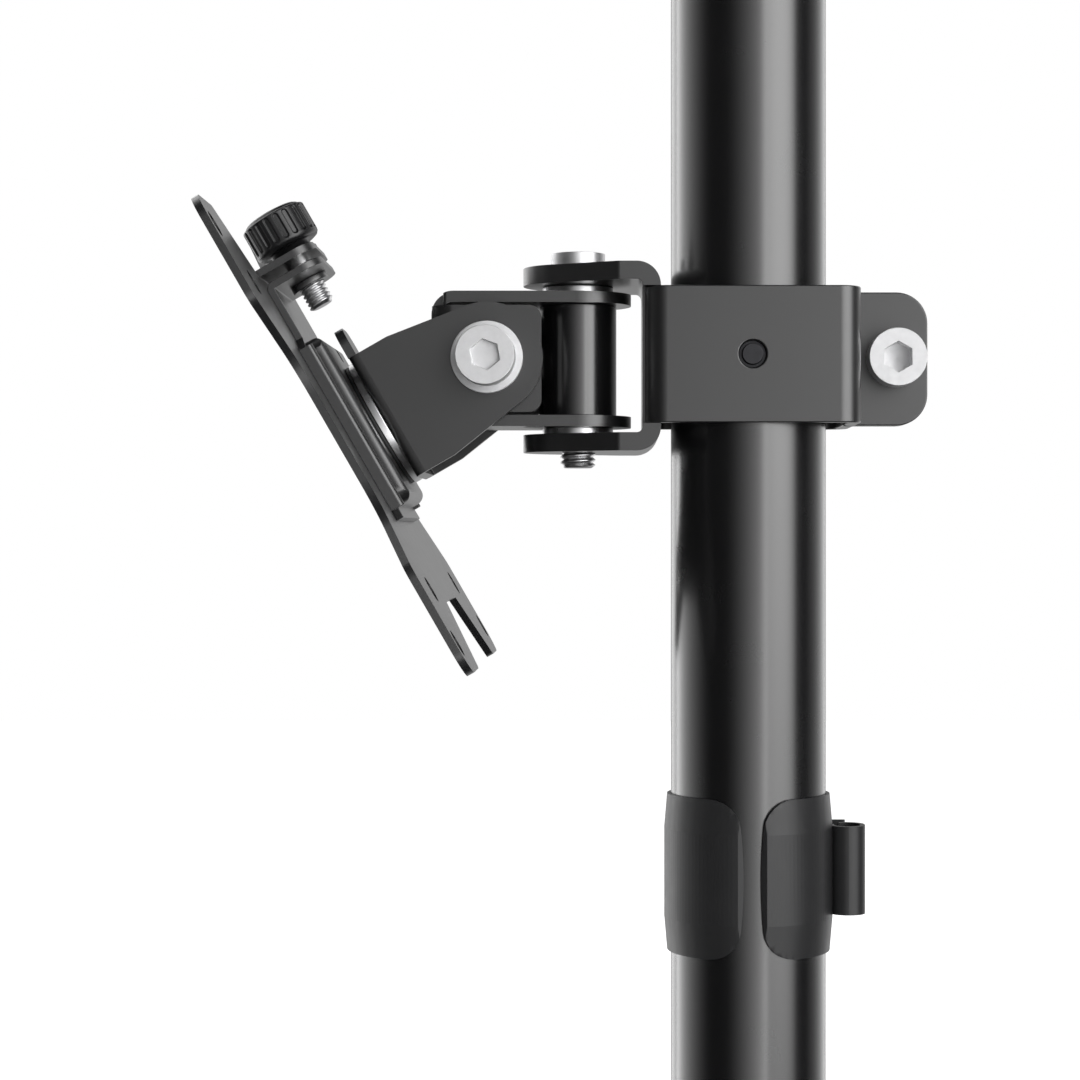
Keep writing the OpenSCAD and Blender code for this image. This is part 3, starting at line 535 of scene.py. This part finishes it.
def soften(piece, width, segments=3, angle=32):
    """Rounds a piece's sharp edges and keeps its flat faces looking flat."""
    bevel = piece.modifiers.new("edges", "BEVEL")
    bevel.width = width
    bevel.segments = segments
    bevel.limit_method = "ANGLE"
    bevel.angle_limit = math.radians(angle)
    bevel.use_clamp_overlap = True
    weighted = piece.modifiers.new("shading", "WEIGHTED_NORMAL")
    weighted.keep_sharp = False
    weighted.weight = 80


def make_piece(name, bm, node, key, edge=None, segments=3, angle=32):
    """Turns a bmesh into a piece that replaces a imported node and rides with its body."""
    mesh = bpy.data.meshes.new(name)
    bm.to_mesh(mesh)
    bm.free()
    mesh.shade_smooth()
    piece = bpy.data.objects.new(name, mesh)
    bpy.context.scene.collection.objects.link(piece)
    mesh.materials.append(material_for(key))
    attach(piece, BODY_OF[node])
    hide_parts(node)
    if edge:
        soften(piece, edge, segments, angle)
    return piece


def node_solid(node):
    """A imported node's surface as one welded bmesh with whole flat faces."""
    bm = bmesh.new()
    bm.from_mesh(frame["nodes"][node].data)
    bmesh.ops.remove_doubles(bm, verts=bm.verts, dist=NODE_WELD)
    bmesh.ops.dissolve_limit(
        bm, angle_limit=math.radians(0.6), verts=bm.verts, edges=bm.edges, delimit={"NORMAL"}
    )
    return bm


def finish_node(node, finish, key, edge, segments=3):
    """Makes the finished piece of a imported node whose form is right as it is."""
    return make_piece(f"{node}_{finish}", node_solid(node), node, key, edge, segments)


def moved(bm, place):
    """The bmesh, moved to its place."""
    bmesh.ops.transform(bm, matrix=place, verts=bm.verts)
    return bm


def turned(profile, place, steps):
    """Turns a profile of (radius, height) points in millimetres into a solid. A closed
    profile makes a ring; one that starts and ends on the axis makes a solid bar."""
    bm = bmesh.new()
    points = [bm.verts.new((r * MM, 0, z * MM)) for r, z in profile]
    pairs = list(zip(points, points[1:]))
    if profile[0][0] > 0 and profile[-1][0] > 0:
        pairs.append((points[-1], points[0]))
    edges = [bm.edges.new(pair) for pair in pairs]
    bmesh.ops.spin(
        bm,
        geom=points + edges,
        cent=(0, 0, 0),
        axis=(0, 0, 1),
        dvec=(0, 0, 0),
        angle=2 * math.pi,
        steps=steps,
        use_merge=True,
        use_duplicate=False,
    )
    bmesh.ops.remove_doubles(bm, verts=bm.verts, dist=WELD)
    bmesh.ops.recalc_face_normals(bm, faces=bm.faces)
    return moved(bm, place)


def threaded(crest, depth, pitch, low, high, place, tip):
    """Winds a screw thread between two heights and chamfers its lower end by tip. All
    sizes are in millimetres."""
    root, steps = crest - depth, 40
    turns = math.ceil((high - low) / pitch) + 2
    start = low - pitch
    # One turn's profile: up to a narrow flat crest and down again.
    profile = ((root, 0.0), (crest, 0.42), (crest, 0.58), (root, 1.0))
    bm = bmesh.new()
    points = [bm.verts.new((r * MM, 0, (start + k * pitch) * MM)) for r, k in profile]
    edges = [bm.edges.new(pair) for pair in zip(points, points[1:])]
    bmesh.ops.spin(
        bm,
        geom=points + edges,
        cent=(0, 0, 0),
        axis=(0, 0, 1),
        dvec=(0, 0, pitch * MM / steps),
        angle=2 * math.pi * turns,
        steps=steps * turns,
        use_merge=False,
        use_duplicate=False,
    )
    bmesh.ops.remove_doubles(bm, verts=bm.verts, dist=WELD)
    for height, side in ((low, -1), (high, 1)):
        cut_off(bm, (0, 0, height * MM), (0, 0, side))
    inset = 0.2
    for vert in bm.verts:
        share = max(0.0, vert.co.z / MM - low) / tip
        reach = (root - inset + share * (depth + inset)) * MM
        radius = math.hypot(vert.co.x, vert.co.y)
        if radius > reach:
            vert.co.x *= reach / radius
            vert.co.y *= reach / radius
    bmesh.ops.recalc_face_normals(bm, faces=bm.faces)
    return moved(bm, place)


def cut_off(bm, point, normal, faces=None, snap=0.0):
    """Cuts away what lies beyond a plane, in some faces or in all, and closes the cut.
    Points closer to the plane than snap count as on it."""
    faces = bm.faces[:] if faces is None else faces
    edges = list(dict.fromkeys(edge for face in faces for edge in face.edges))
    verts = list(dict.fromkeys(vert for face in faces for vert in face.verts))
    bmesh.ops.bisect_plane(
        bm,
        geom=verts + edges + faces,
        dist=snap,
        plane_co=point,
        plane_no=normal,
        clear_outer=True,
    )
    point, normal = Vector(point), Vector(normal)
    rim = [
        edge
        for edge in bm.edges
        if edge.is_boundary
        and all(abs((v.co - point).dot(normal)) < ON_PLANE for v in edge.verts)
    ]
    bmesh.ops.contextual_create(bm, geom=rim)


def tube(node, inner, place, steps):
    """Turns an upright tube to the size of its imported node; inner is its bore's radius."""
    low, high = (corner.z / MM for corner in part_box(node))
    outer, inner = node_size(node, 0) / 2 / MM, inner / MM
    return turned([(outer, low), (outer, high), (inner, high), (inner, low)], place, steps)


def head_ring(node, finish, key, edge, inner):
    """Turns a flat ring on the head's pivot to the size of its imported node."""
    back, front = head_span(node, "n")
    outer, inner = head_span(node, "y")[1], inner / MM
    place = HEAD @ Matrix.Rotation(math.radians(90), 4, "Y")
    bm = turned([(outer, back), (outer, front), (inner, front), (inner, back)], place, 128)
    make_piece(f"{node}_{finish}", bm, node, key, edge, 2)


class STAND_OT_stage(bpy.types.Operator):
    """Builds the pale floor, the soft studio light and the camera"""

    bl_idname = "stand.stage"
    bl_label = "Stage"

    def execute(self, context):
        stage = context.scene.stand_stage
        context.scene.view_settings.view_transform = "Standard"
        self.make_world(context)
        self.make_floor(context)
        self.make_lamps(context, stage)
        self.make_camera(context, stage)
        return {"FINISHED"}

    def make_world(self, context):
        """White where the camera looks past the stand, a pale wall behind it and a dark
        studio before it for reflections, and a plain even level for soft light."""
        world = bpy.data.worlds.new("studio")
        context.scene.world = world
        world.use_nodes = True
        tree = world.node_tree
        tree.nodes.clear()
        rays = add(tree, "ShaderNodeLightPath")
        way = add(tree, "ShaderNodeTexCoord").outputs["Generated"]
        depth = add(tree, "ShaderNodeSeparateXYZ", links=[("Vector", way)])
        wall = add(
            tree,
            "ShaderNodeMapRange",
            {
                "interpolation_type": "SMOOTHSTEP",
                "From Min": 0.3,
                "From Max": 0.9,
                "To Min": 0.02,
                "To Max": 0.45,
            },
            [("Value", depth.outputs["Y"])],
        )
        seen = add(
            tree,
            "ShaderNodeMath",
            {"operation": "MAXIMUM"},
            [(0, rays.outputs["Is Camera Ray"]), (1, rays.outputs["Is Transmission Ray"])],
        )
        white = add(tree, "ShaderNodeBackground", {"Color": (1, 1, 1, 1), "Strength": 1.0})
        mirror = add(
            tree,
            "ShaderNodeBackground",
            {"Color": (1, 1, 1, 1)},
            [("Strength", wall.outputs["Result"])],
        )
        fill = add(tree, "ShaderNodeBackground", {"Color": (1, 1, 1, 1), "Strength": 0.5})
        unseen = add(
            tree,
            "ShaderNodeMixShader",
            links=[
                (0, rays.outputs["Is Glossy Ray"]),
                (1, fill.outputs[0]),
                (2, mirror.outputs[0]),
            ],
        )
        mix = add(
            tree,
            "ShaderNodeMixShader",
            links=[(0, seen.outputs[0]), (1, unseen.outputs[0]), (2, white.outputs[0])],
        )
        add(tree, "ShaderNodeOutputWorld", links=[("Surface", mix.outputs[0])])

    def make_floor(self, context):
        """A matt white floor that keeps the stand's shadow. It stops in front of the
        stand, so that the pole mirrors the dark studio there."""
        bm = bmesh.new()
        bmesh.ops.create_grid(bm, x_segments=1, y_segments=1, size=2.0)
        bmesh.ops.translate(bm, verts=bm.verts, vec=(0, 1.55, 0))
        mesh = bpy.data.meshes.new("floor")
        bm.to_mesh(mesh)
        bm.free()
        floor = bpy.data.objects.new("floor", mesh)
        context.scene.collection.objects.link(floor)
        material, tree, shader, place = new_material("painted_floor")
        shader.inputs["Roughness"].default_value = 0.9
        shader.inputs["Specular IOR Level"].default_value = 0.0
        tint(tree, shader, place, linear("#e9e9e9"), 0.01, 60)
        rays = add(tree, "ShaderNodeLightPath")
        glow = add(
            tree,
            "ShaderNodeMath",
            {"operation": "MULTIPLY", 1: 0.7},
            [(0, rays.outputs["Is Camera Ray"])],
        )
        shader.inputs["Emission Color"].default_value = (1, 1, 1, 1)
        tree.links.new(glow.outputs[0], shader.inputs["Emission Strength"])
        mesh.materials.append(material)
        # Reflections look past the floor to the white wall and the dark studio.
        floor.visible_glossy = False

    def make_lamps(self, context, stage):
        """A key softbox to the camera's right, a dimmer one before the stand that fades
        to the left, and strips beside and behind it that fade towards the front."""
        key, rim = stage.key_radiance, stage.rim_radiance
        # Columns: azimuth, width, radiance at the span's two ends, span, fade, foot, top.
        rows = {
            "key": (44, 1.3, key * 0.02, key, (0.5, 0.0), 3.0, 0.3, 1.41),
            "front": (-6, 1.5, 0.0, key * 0.48, (0.0, 1.0), 2.1, 1.6, 1.41),
            "rim_left": (-98, 1.95, 0.0, rim, (1.0, 0.0), 1.9, 1.0, 2.6),
            "edge_left": (-150, 0.5, 0.95, 0.95, (0.0, 1.0), 1.0, 1.0, 1.41),
            "rim_right": (125, 1.5, 0.05, rim * 0.28, (0.0, 1.0), 1.0, 1.0, 1.41),
        }
        for name, row in rows.items():
            self.lamp(context, name, *row)

    def lamp(self, context, name, azimuth, width, dim, bright, span, fade, foot, top):
        """One softbox, 1.25 m away: azimuth is its angle round the stand from the
        camera's side, dim and bright its radiance at the two ends of span, which are
        shares of its width, fade the power by which it grows between them, foot the
        share of its light that its lower edge gives, and top the height of its upper
        edge. Its lower edge is below the floor, which lets reflections through. A span
        from the middle serves both halves, and its light drops late."""
        distance, bottom = 1.25, -0.49
        foot_end, full_start = -0.39, 0.65
        height = top - bottom
        data = bpy.data.lights.new(name, "AREA")
        data.shape = "RECTANGLE"
        data.size, data.size_y = width, height
        # This power gives a radiance of 1, which the nodes below multiply.
        data.energy = math.pi * width * height
        data.use_nodes = True
        tree = data.node_tree
        tree.nodes.clear()
        across = add(tree, "ShaderNodeNewGeometry").outputs["Parametric"]
        split = add(tree, "ShaderNodeSeparateXYZ", links=[("Vector", across)])
        middle = span[0] == 0.5
        share = add(
            tree,
            "ShaderNodeMapRange",
            {"From Min": span[0], "From Max": span[1], "clamp": not middle},
            [("Value", split.outputs["X"])],
        )
        size = add(
            tree, "ShaderNodeMath", {"operation": "ABSOLUTE"}, [(0, share.outputs["Result"])]
        )
        curve = add(
            tree, "ShaderNodeMath", {"operation": "POWER", 1: fade}, [(0, size.outputs[0])]
        )
        ends = (bright, dim) if middle else (dim, bright)
        grade = add(
            tree,
            "ShaderNodeMapRange",
            {"To Min": ends[0], "To Max": ends[1]},
            [("Value", curve.outputs[0])],
        )
        rise = add(
            tree,
            "ShaderNodeMapRange",
            {
                "interpolation_type": "SMOOTHSTEP",
                "From Min": (foot_end - bottom) / height,
                "From Max": (full_start - bottom) / height,
                "To Min": foot,
                "To Max": 1.0,
            },
            [("Value", split.outputs["Y"])],
        )
        level = add(
            tree,
            "ShaderNodeMath",
            {"operation": "MULTIPLY"},
            [(0, grade.outputs["Result"]), (1, rise.outputs["Result"])],
        )
        light = add(tree, "ShaderNodeEmission", links=[("Strength", level.outputs[0])])
        add(tree, "ShaderNodeOutputLight", links=[("Surface", light.outputs[0])])
        lamp = bpy.data.objects.new(name, data)
        turn = math.radians(azimuth)
        lamp.location = (
            distance * math.sin(turn),
            -distance * math.cos(turn),
            (top + bottom) / 2,
        )
        lamp.rotation_euler = (math.radians(90), 0, turn)
        lamp.visible_camera = False
        context.scene.collection.objects.link(lamp)

    def make_camera(self, context, stage):
        """The photograph's camera: its lens and shift in pixels of a square picture."""
        picture, lens, shift_x, shift_y = 1080, 2566, -74.6, -5.5
        data = bpy.data.cameras.new("view")
        data.sensor_width = 36.0
        data.lens = data.sensor_width * lens / picture
        data.shift_x = shift_x / picture
        data.shift_y = shift_y / picture
        data.clip_start = 0.01
        camera = bpy.data.objects.new("view", data)
        camera.location = (stage.camera_offset, -stage.camera_distance, stage.camera_height)
        camera.rotation_euler = (math.radians(90), 0, 0)
        context.scene.collection.objects.link(camera)
        context.scene.camera = camera


class STAND_OT_base(bpy.types.Operator):
    """Finishes the base plate, its feet and the socket that holds the pole"""

    bl_idname = "stand.base"
    bl_label = "Base"

    def execute(self, context):
        sizes = context.scene.stand_sizes
        # The heavy plate has twice the broken edge of the folded sheets.
        finish_node("base_plate", "coated", "base", sizes.sheet_edge * 2)
        finish_node("pole_socket", "coated", "base", sizes.sheet_edge)
        finish_node("rubber_feet", "moulded", "rubber", sizes.fastener_edge)
        for node in ("base_screws", "socket_set_screws"):
            finish_node(node, "blackened", "dark_steel", sizes.set_screw_edge, 2)
        return {"FINISHED"}


class STAND_OT_pole(bpy.types.Operator):
    """Turns the enamelled pole and its moulded end cap"""

    bl_idname = "stand.pole"
    bl_label = "Pole"

    def execute(self, context):
        sizes = context.scene.stand_sizes
        inner = sizes.pole_radius - sizes.pole_wall
        bm = tube("pole", inner, Matrix.Identity(4), steps=192)
        make_piece("pole_enamelled", bm, "pole", "pole", edge=0.3 * MM, segments=2)
        finish_node("pole_cap", "moulded", "plastic", edge=0.4 * MM)
        return {"FINISHED"}


class STAND_OT_collar(bpy.types.Operator):
    """Finishes the two clamp halves, the clevis and the screws that hold them"""

    bl_idname = "stand.collar"
    bl_label = "Clamp collar"

    def execute(self, context):
        sizes = context.scene.stand_sizes
        for node in ("clamp_front", "clamp_rear", "clevis_bracket"):
            finish_node(node, "coated", "sheet", sizes.sheet_edge)
        for node in ("clamp_screw", "clamp_washer", "clamp_nut"):
            finish_node(node, "plated", "steel", sizes.head_edge)
        finish_node("pole_set_screw", "blackened", "dark_steel", sizes.set_screw_edge, 2)
        return {"FINISHED"}


class STAND_OT_swivel(bpy.types.Operator):
    """Makes the swivel bolt with its thread, the washers and the spacer tube"""

    bl_idname = "stand.swivel"
    bl_label = "Swivel bolt"

    def execute(self, context):
        sizes = context.scene.stand_sizes
        self.make_bolt(sizes)
        finish_node("swivel_washers", "plated", "thread", sizes.head_edge, 2)
        finish_node("thin_washer", "moulded", "nylon", edge=0.08 * MM, segments=2)
        place = Matrix.Translation((SWIVEL_AXIS.x, 0, 0))
        bm = tube("spacer_tube", sizes.bolt_radius + BORE_GAP, place, steps=128)
        make_piece("spacer_tube_enamelled", bm, "spacer_tube", "pole", 0.3 * MM, 2)
        return {"FINISHED"}

    def make_bolt(self, sizes):
        """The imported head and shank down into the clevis, then a real thread."""
        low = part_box("swivel_bolt")[0].z
        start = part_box("clevis_bracket")[0].z + 0.6 * MM
        bm = node_solid("swivel_bolt")
        cut_off(bm, (0, 0, start), (0, 0, -1))
        make_piece("swivel_bolt_head", bm, "swivel_bolt", "head", sizes.head_edge)
        crest = (sizes.bolt_radius - THREAD_GAP) / MM
        place = Matrix.Translation((SWIVEL_AXIS.x, 0, 0))
        bm = threaded(crest, 0.68, sizes.bolt_pitch / MM, low / MM, start / MM, place, 0.7)
        make_piece("swivel_bolt_thread", bm, "swivel_bolt", "thread", 0.07 * MM, 1, 40)


class STAND_OT_yoke(bpy.types.Operator):
    """Finishes the yoke between the swivel bolt and the tilt bolt"""

    bl_idname = "stand.yoke"
    bl_label = "Yoke"

    def execute(self, context):
        sizes = context.scene.stand_sizes
        finish_node("yoke_bracket", "coated", "sheet", sizes.sheet_edge)
        finish_node("tilt_sleeve", "enamelled", "pole", sizes.fastener_edge)
        finish_node("side_washers", "plated", "steel", sizes.fastener_edge)
        return {"FINISHED"}


class STAND_OT_tilt_head(bpy.types.Operator):
    """Finishes the tilt bracket, its bolt and the bright thrust disc"""

    bl_idname = "stand.tilt_head"
    bl_label = "Tilt head"

    def execute(self, context):
        sizes = context.scene.stand_sizes
        finish_node("tilt_bracket", "coated", "sheet", sizes.sheet_edge)
        for node in ("tilt_bolt", "tilt_washers", "tilt_nut"):
            finish_node(node, "plated", "steel", sizes.head_edge)
        head_ring("thrust_disc", "turned", "thread", 0.2 * MM, sizes.bolt_radius + BORE_GAP)
        return {"FINISHED"}


class STAND_OT_pocket(bpy.types.Operator):
    """Finishes the turning pocket: friction washer, receiver pan, pivot and bracket"""

    bl_idname = "stand.pocket"
    bl_label = "Turning pocket"

    def execute(self, context):
        sizes = context.scene.stand_sizes
        bore = sizes.bolt_radius + BORE_GAP
        head_ring("friction_washer", "moulded", "nylon", 0.12 * MM, bore)
        for node in ("receiver_plate", "pocket_bracket"):
            finish_node(node, "coated", "sheet", sizes.plate_edge)
        finish_node("tab_nut", "coated", "sheet", sizes.fastener_edge)
        for node in ("pivot_rivet", "pivot_washer", "pivot_nut", "hook_studs"):
            finish_node(node, "plated", "steel", sizes.fastener_edge, 2)
        return {"FINISHED"}


class STAND_OT_mounting_plate(bpy.types.Operator):
    """Finishes the mounting plate with its four-armed hole pattern"""

    bl_idname = "stand.mounting_plate"
    bl_label = "Mounting plate"

    def execute(self, context):
        sizes = context.scene.stand_sizes
        finish_node("vesa_plate", "coated", "sheet", sizes.plate_edge)
        return {"FINISHED"}


class STAND_OT_thumb_screw(bpy.types.Operator):
    """Makes the thumb screw: threaded stud, washer and fluted knob"""

    bl_idname = "stand.thumb_screw"
    bl_label = "Thumb screw"

    def execute(self, context):
        sizes = context.scene.stand_sizes
        axis_n = (LOCK_AXIS - TILT_AXIS).dot(HEAD_N)
        place = HEAD @ Matrix.Translation((axis_n, 0, 0))
        tip, top = head_span("thumb_stud", "e")
        # The thread ends inside the nut on the lower tab.
        end = head_span("tab_nut", "e")[0] + 0.4
        crest = head_span("thumb_stud", "y")[1] - THREAD_GAP / MM
        bm = threaded(crest, 0.55, sizes.thumb_pitch / MM, tip, end, place, 0.4)
        make_piece("thumb_stud_thread", bm, "thumb_stud", "thread", 0.05 * MM, 1, 40)
        bm = turned([(0, end), (crest, end), (crest, top), (0, top)], place, steps=64)
        make_piece("thumb_stud_shank", bm, "thumb_stud", "thread", 0.2 * MM, 2)
        finish_node("thumb_washer", "blackened", "dark_steel", sizes.fastener_edge)
        make_piece("thumb_knob_moulded", self.knob(sizes, place), "thumb_knob", "plastic")
        return {"FINISHED"}

    def knob(self, sizes, place):
        """A moulded knob: neck, plain band, a ring of grooves with round ends, and a low
        dome inside the rim. All sizes are in millimetres."""
        low, high = head_span("thumb_knob", "e")
        outer = head_span("thumb_knob", "y")[1]
        gap = BORE_GAP / MM
        hole, bore = (head_span("thumb_stud", axis)[1] + gap for axis in ("y", "e"))
        neck, body = outer - 2.85, low + 1.7
        first, last, rows, columns = body + 1.3, high - 1.5, 44, 24
        foot = [(hole, low), (neck, low), (neck, body), (outer - 1.3, body),
                (outer - 0.5, body + 0.3), (outer - 0.1, body + 0.8)]
        side = [(outer, first + (last - first) * i / rows) for i in range(rows + 1)]
        crown = [(outer - 0.1, high - 1.35), (outer - 0.6, high - 1.1),
                 (outer - 0.85, high - 1.1), (outer - 1.0, high - 0.75),
                 (outer - 1.6, high - 0.4), (outer - 3.2, high - 0.1), (0, high)]
        profile = foot + side + crown + [(0, bore), (hole, bore)]
        bm = turned(profile, Matrix.Identity(4), steps=sizes.flutes * columns)
        self.press_flutes(bm, first, last, outer, sizes)
        return moved(bm, place)

    def press_flutes(self, bm, first, last, outer, sizes):
        """Presses one flat-bottomed groove with round ends for each flute. It stays clear
        of the first and last rows, so that the knob's outline is whole there."""
        pitch = 2 * math.pi / sizes.flutes
        half_width, wall, clear, skin = 0.62, 0.13, 0.2, 0.02
        depth = sizes.flute_depth / MM
        middle, half_height = (first + last) / 2, (last - first) / 2
        reach = half_height - clear - half_width
        for vert in bm.verts:
            radius = math.hypot(vert.co.x, vert.co.y) / MM
            height = abs(vert.co.z / MM - middle)
            if radius < outer - skin or height > half_height:
                continue
            turn = math.atan2(vert.co.y, vert.co.x) % pitch - pitch / 2
            gap = math.hypot(turn * outer, max(0.0, height - reach)) - half_width
            share = min(1.0, max(0.0, (wall - gap) / (2 * wall)))
            pressed = 1 - depth * share * share * (3 - 2 * share) / radius
            vert.co.x *= pressed
            vert.co.y *= pressed


class STAND_OT_cable_clip(bpy.types.Operator):
    """Finishes the moulded clip that grips the pole and holds the cable"""

    bl_idname = "stand.cable_clip"
    bl_label = "Cable clip"

    def execute(self, context):
        sizes = context.scene.stand_sizes
        bm = node_solid("cable_clip")
        for side in (-1, 1):
            self.cut_facet(bm, side, sizes)
        self.crease(bm, sizes)
        piece = make_piece("cable_clip_moulded", bm, "cable_clip", "clip", 0.22 * MM, 2)
        piece.modifiers["shading"].keep_sharp = True
        return {"FINISHED"}

    def cut_facet(self, bm, side, sizes):
        """Bevels a wing where it meets the front gap: a flat facet that runs out before
        the wing's corners."""
        outer = -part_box("cable_clip")[0].y
        x = side * sizes.facet_line
        start = Vector((x, -math.sqrt(outer**2 - x**2), 0))
        slope = math.atan2(x, -start.y) - side * sizes.facet_turn
        wing = 4 * MM
        near = [
            face
            for face in bm.faces
            if all(
                0 <= v.co.x * side < wing and v.co.y < -0.9 * sizes.pole_radius
                for v in face.verts
            )
        ]
        cut_off(bm, start, (math.sin(slope), -math.cos(slope), 0), near, ON_PLANE)

    def crease(self, bm, sizes):
        """Keeps the faint line where the wings start to thin out towards their ends."""
        low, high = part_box("cable_clip")
        middle, outer = (low.z + high.z) / 2, -low.y
        line = high.z - middle - sizes.wing_taper
        for edge in bm.edges:
            if all(
                abs(abs(v.co.z - middle) - line) < 10 * NODE_WELD
                and math.hypot(v.co.x, v.co.y) > outer - BORE_GAP
                for v in edge.verts
            ):
                edge.smooth = False


class STAND_PT_pieces(bpy.types.Panel):
    """Lists the stand's pieces"""

    bl_label = "Monitor Stand"
    bl_idname = "STAND_PT_pieces"
    bl_space_type = "VIEW_3D"
    bl_region_type = "UI"
    bl_category = "Monitor Stand"

    def draw(self, context):
        for operator in OPERATORS:
            self.layout.operator(operator.bl_idname)
        for group in ("stand_sizes", "stand_finish", "stand_stage"):
            values = getattr(context.scene, group)
            for name in values.bl_rna.properties.keys():
                if name not in ("rna_type", "name"):
                    self.layout.prop(values, name)


GROUPS = (
    ("stand_sizes", StandSizes),
    ("stand_finish", StandFinish),
    ("stand_stage", StandStage),
)
OPERATORS = (
    STAND_OT_stage,
    STAND_OT_base,
    STAND_OT_pole,
    STAND_OT_collar,
    STAND_OT_swivel,
    STAND_OT_yoke,
    STAND_OT_tilt_head,
    STAND_OT_pocket,
    STAND_OT_mounting_plate,
    STAND_OT_thumb_screw,
    STAND_OT_cable_clip,
)


def register():
    for name, group in GROUPS:
        bpy.utils.register_class(group)
        setattr(bpy.types.Scene, name, bpy.props.PointerProperty(type=group))
    for operator in OPERATORS:
        bpy.utils.register_class(operator)
    bpy.utils.register_class(STAND_PT_pieces)


def unregister():
    bpy.utils.unregister_class(STAND_PT_pieces)
    for operator in reversed(OPERATORS):
        bpy.utils.unregister_class(operator)
    for name, group in reversed(GROUPS):
        delattr(bpy.types.Scene, name)
        bpy.utils.unregister_class(group)


def main():
    register()
    for operator in OPERATORS:
        family, name = operator.bl_idname.split(".")
        getattr(getattr(bpy.ops, family), name)()


if __name__ == "__main__":
    main()
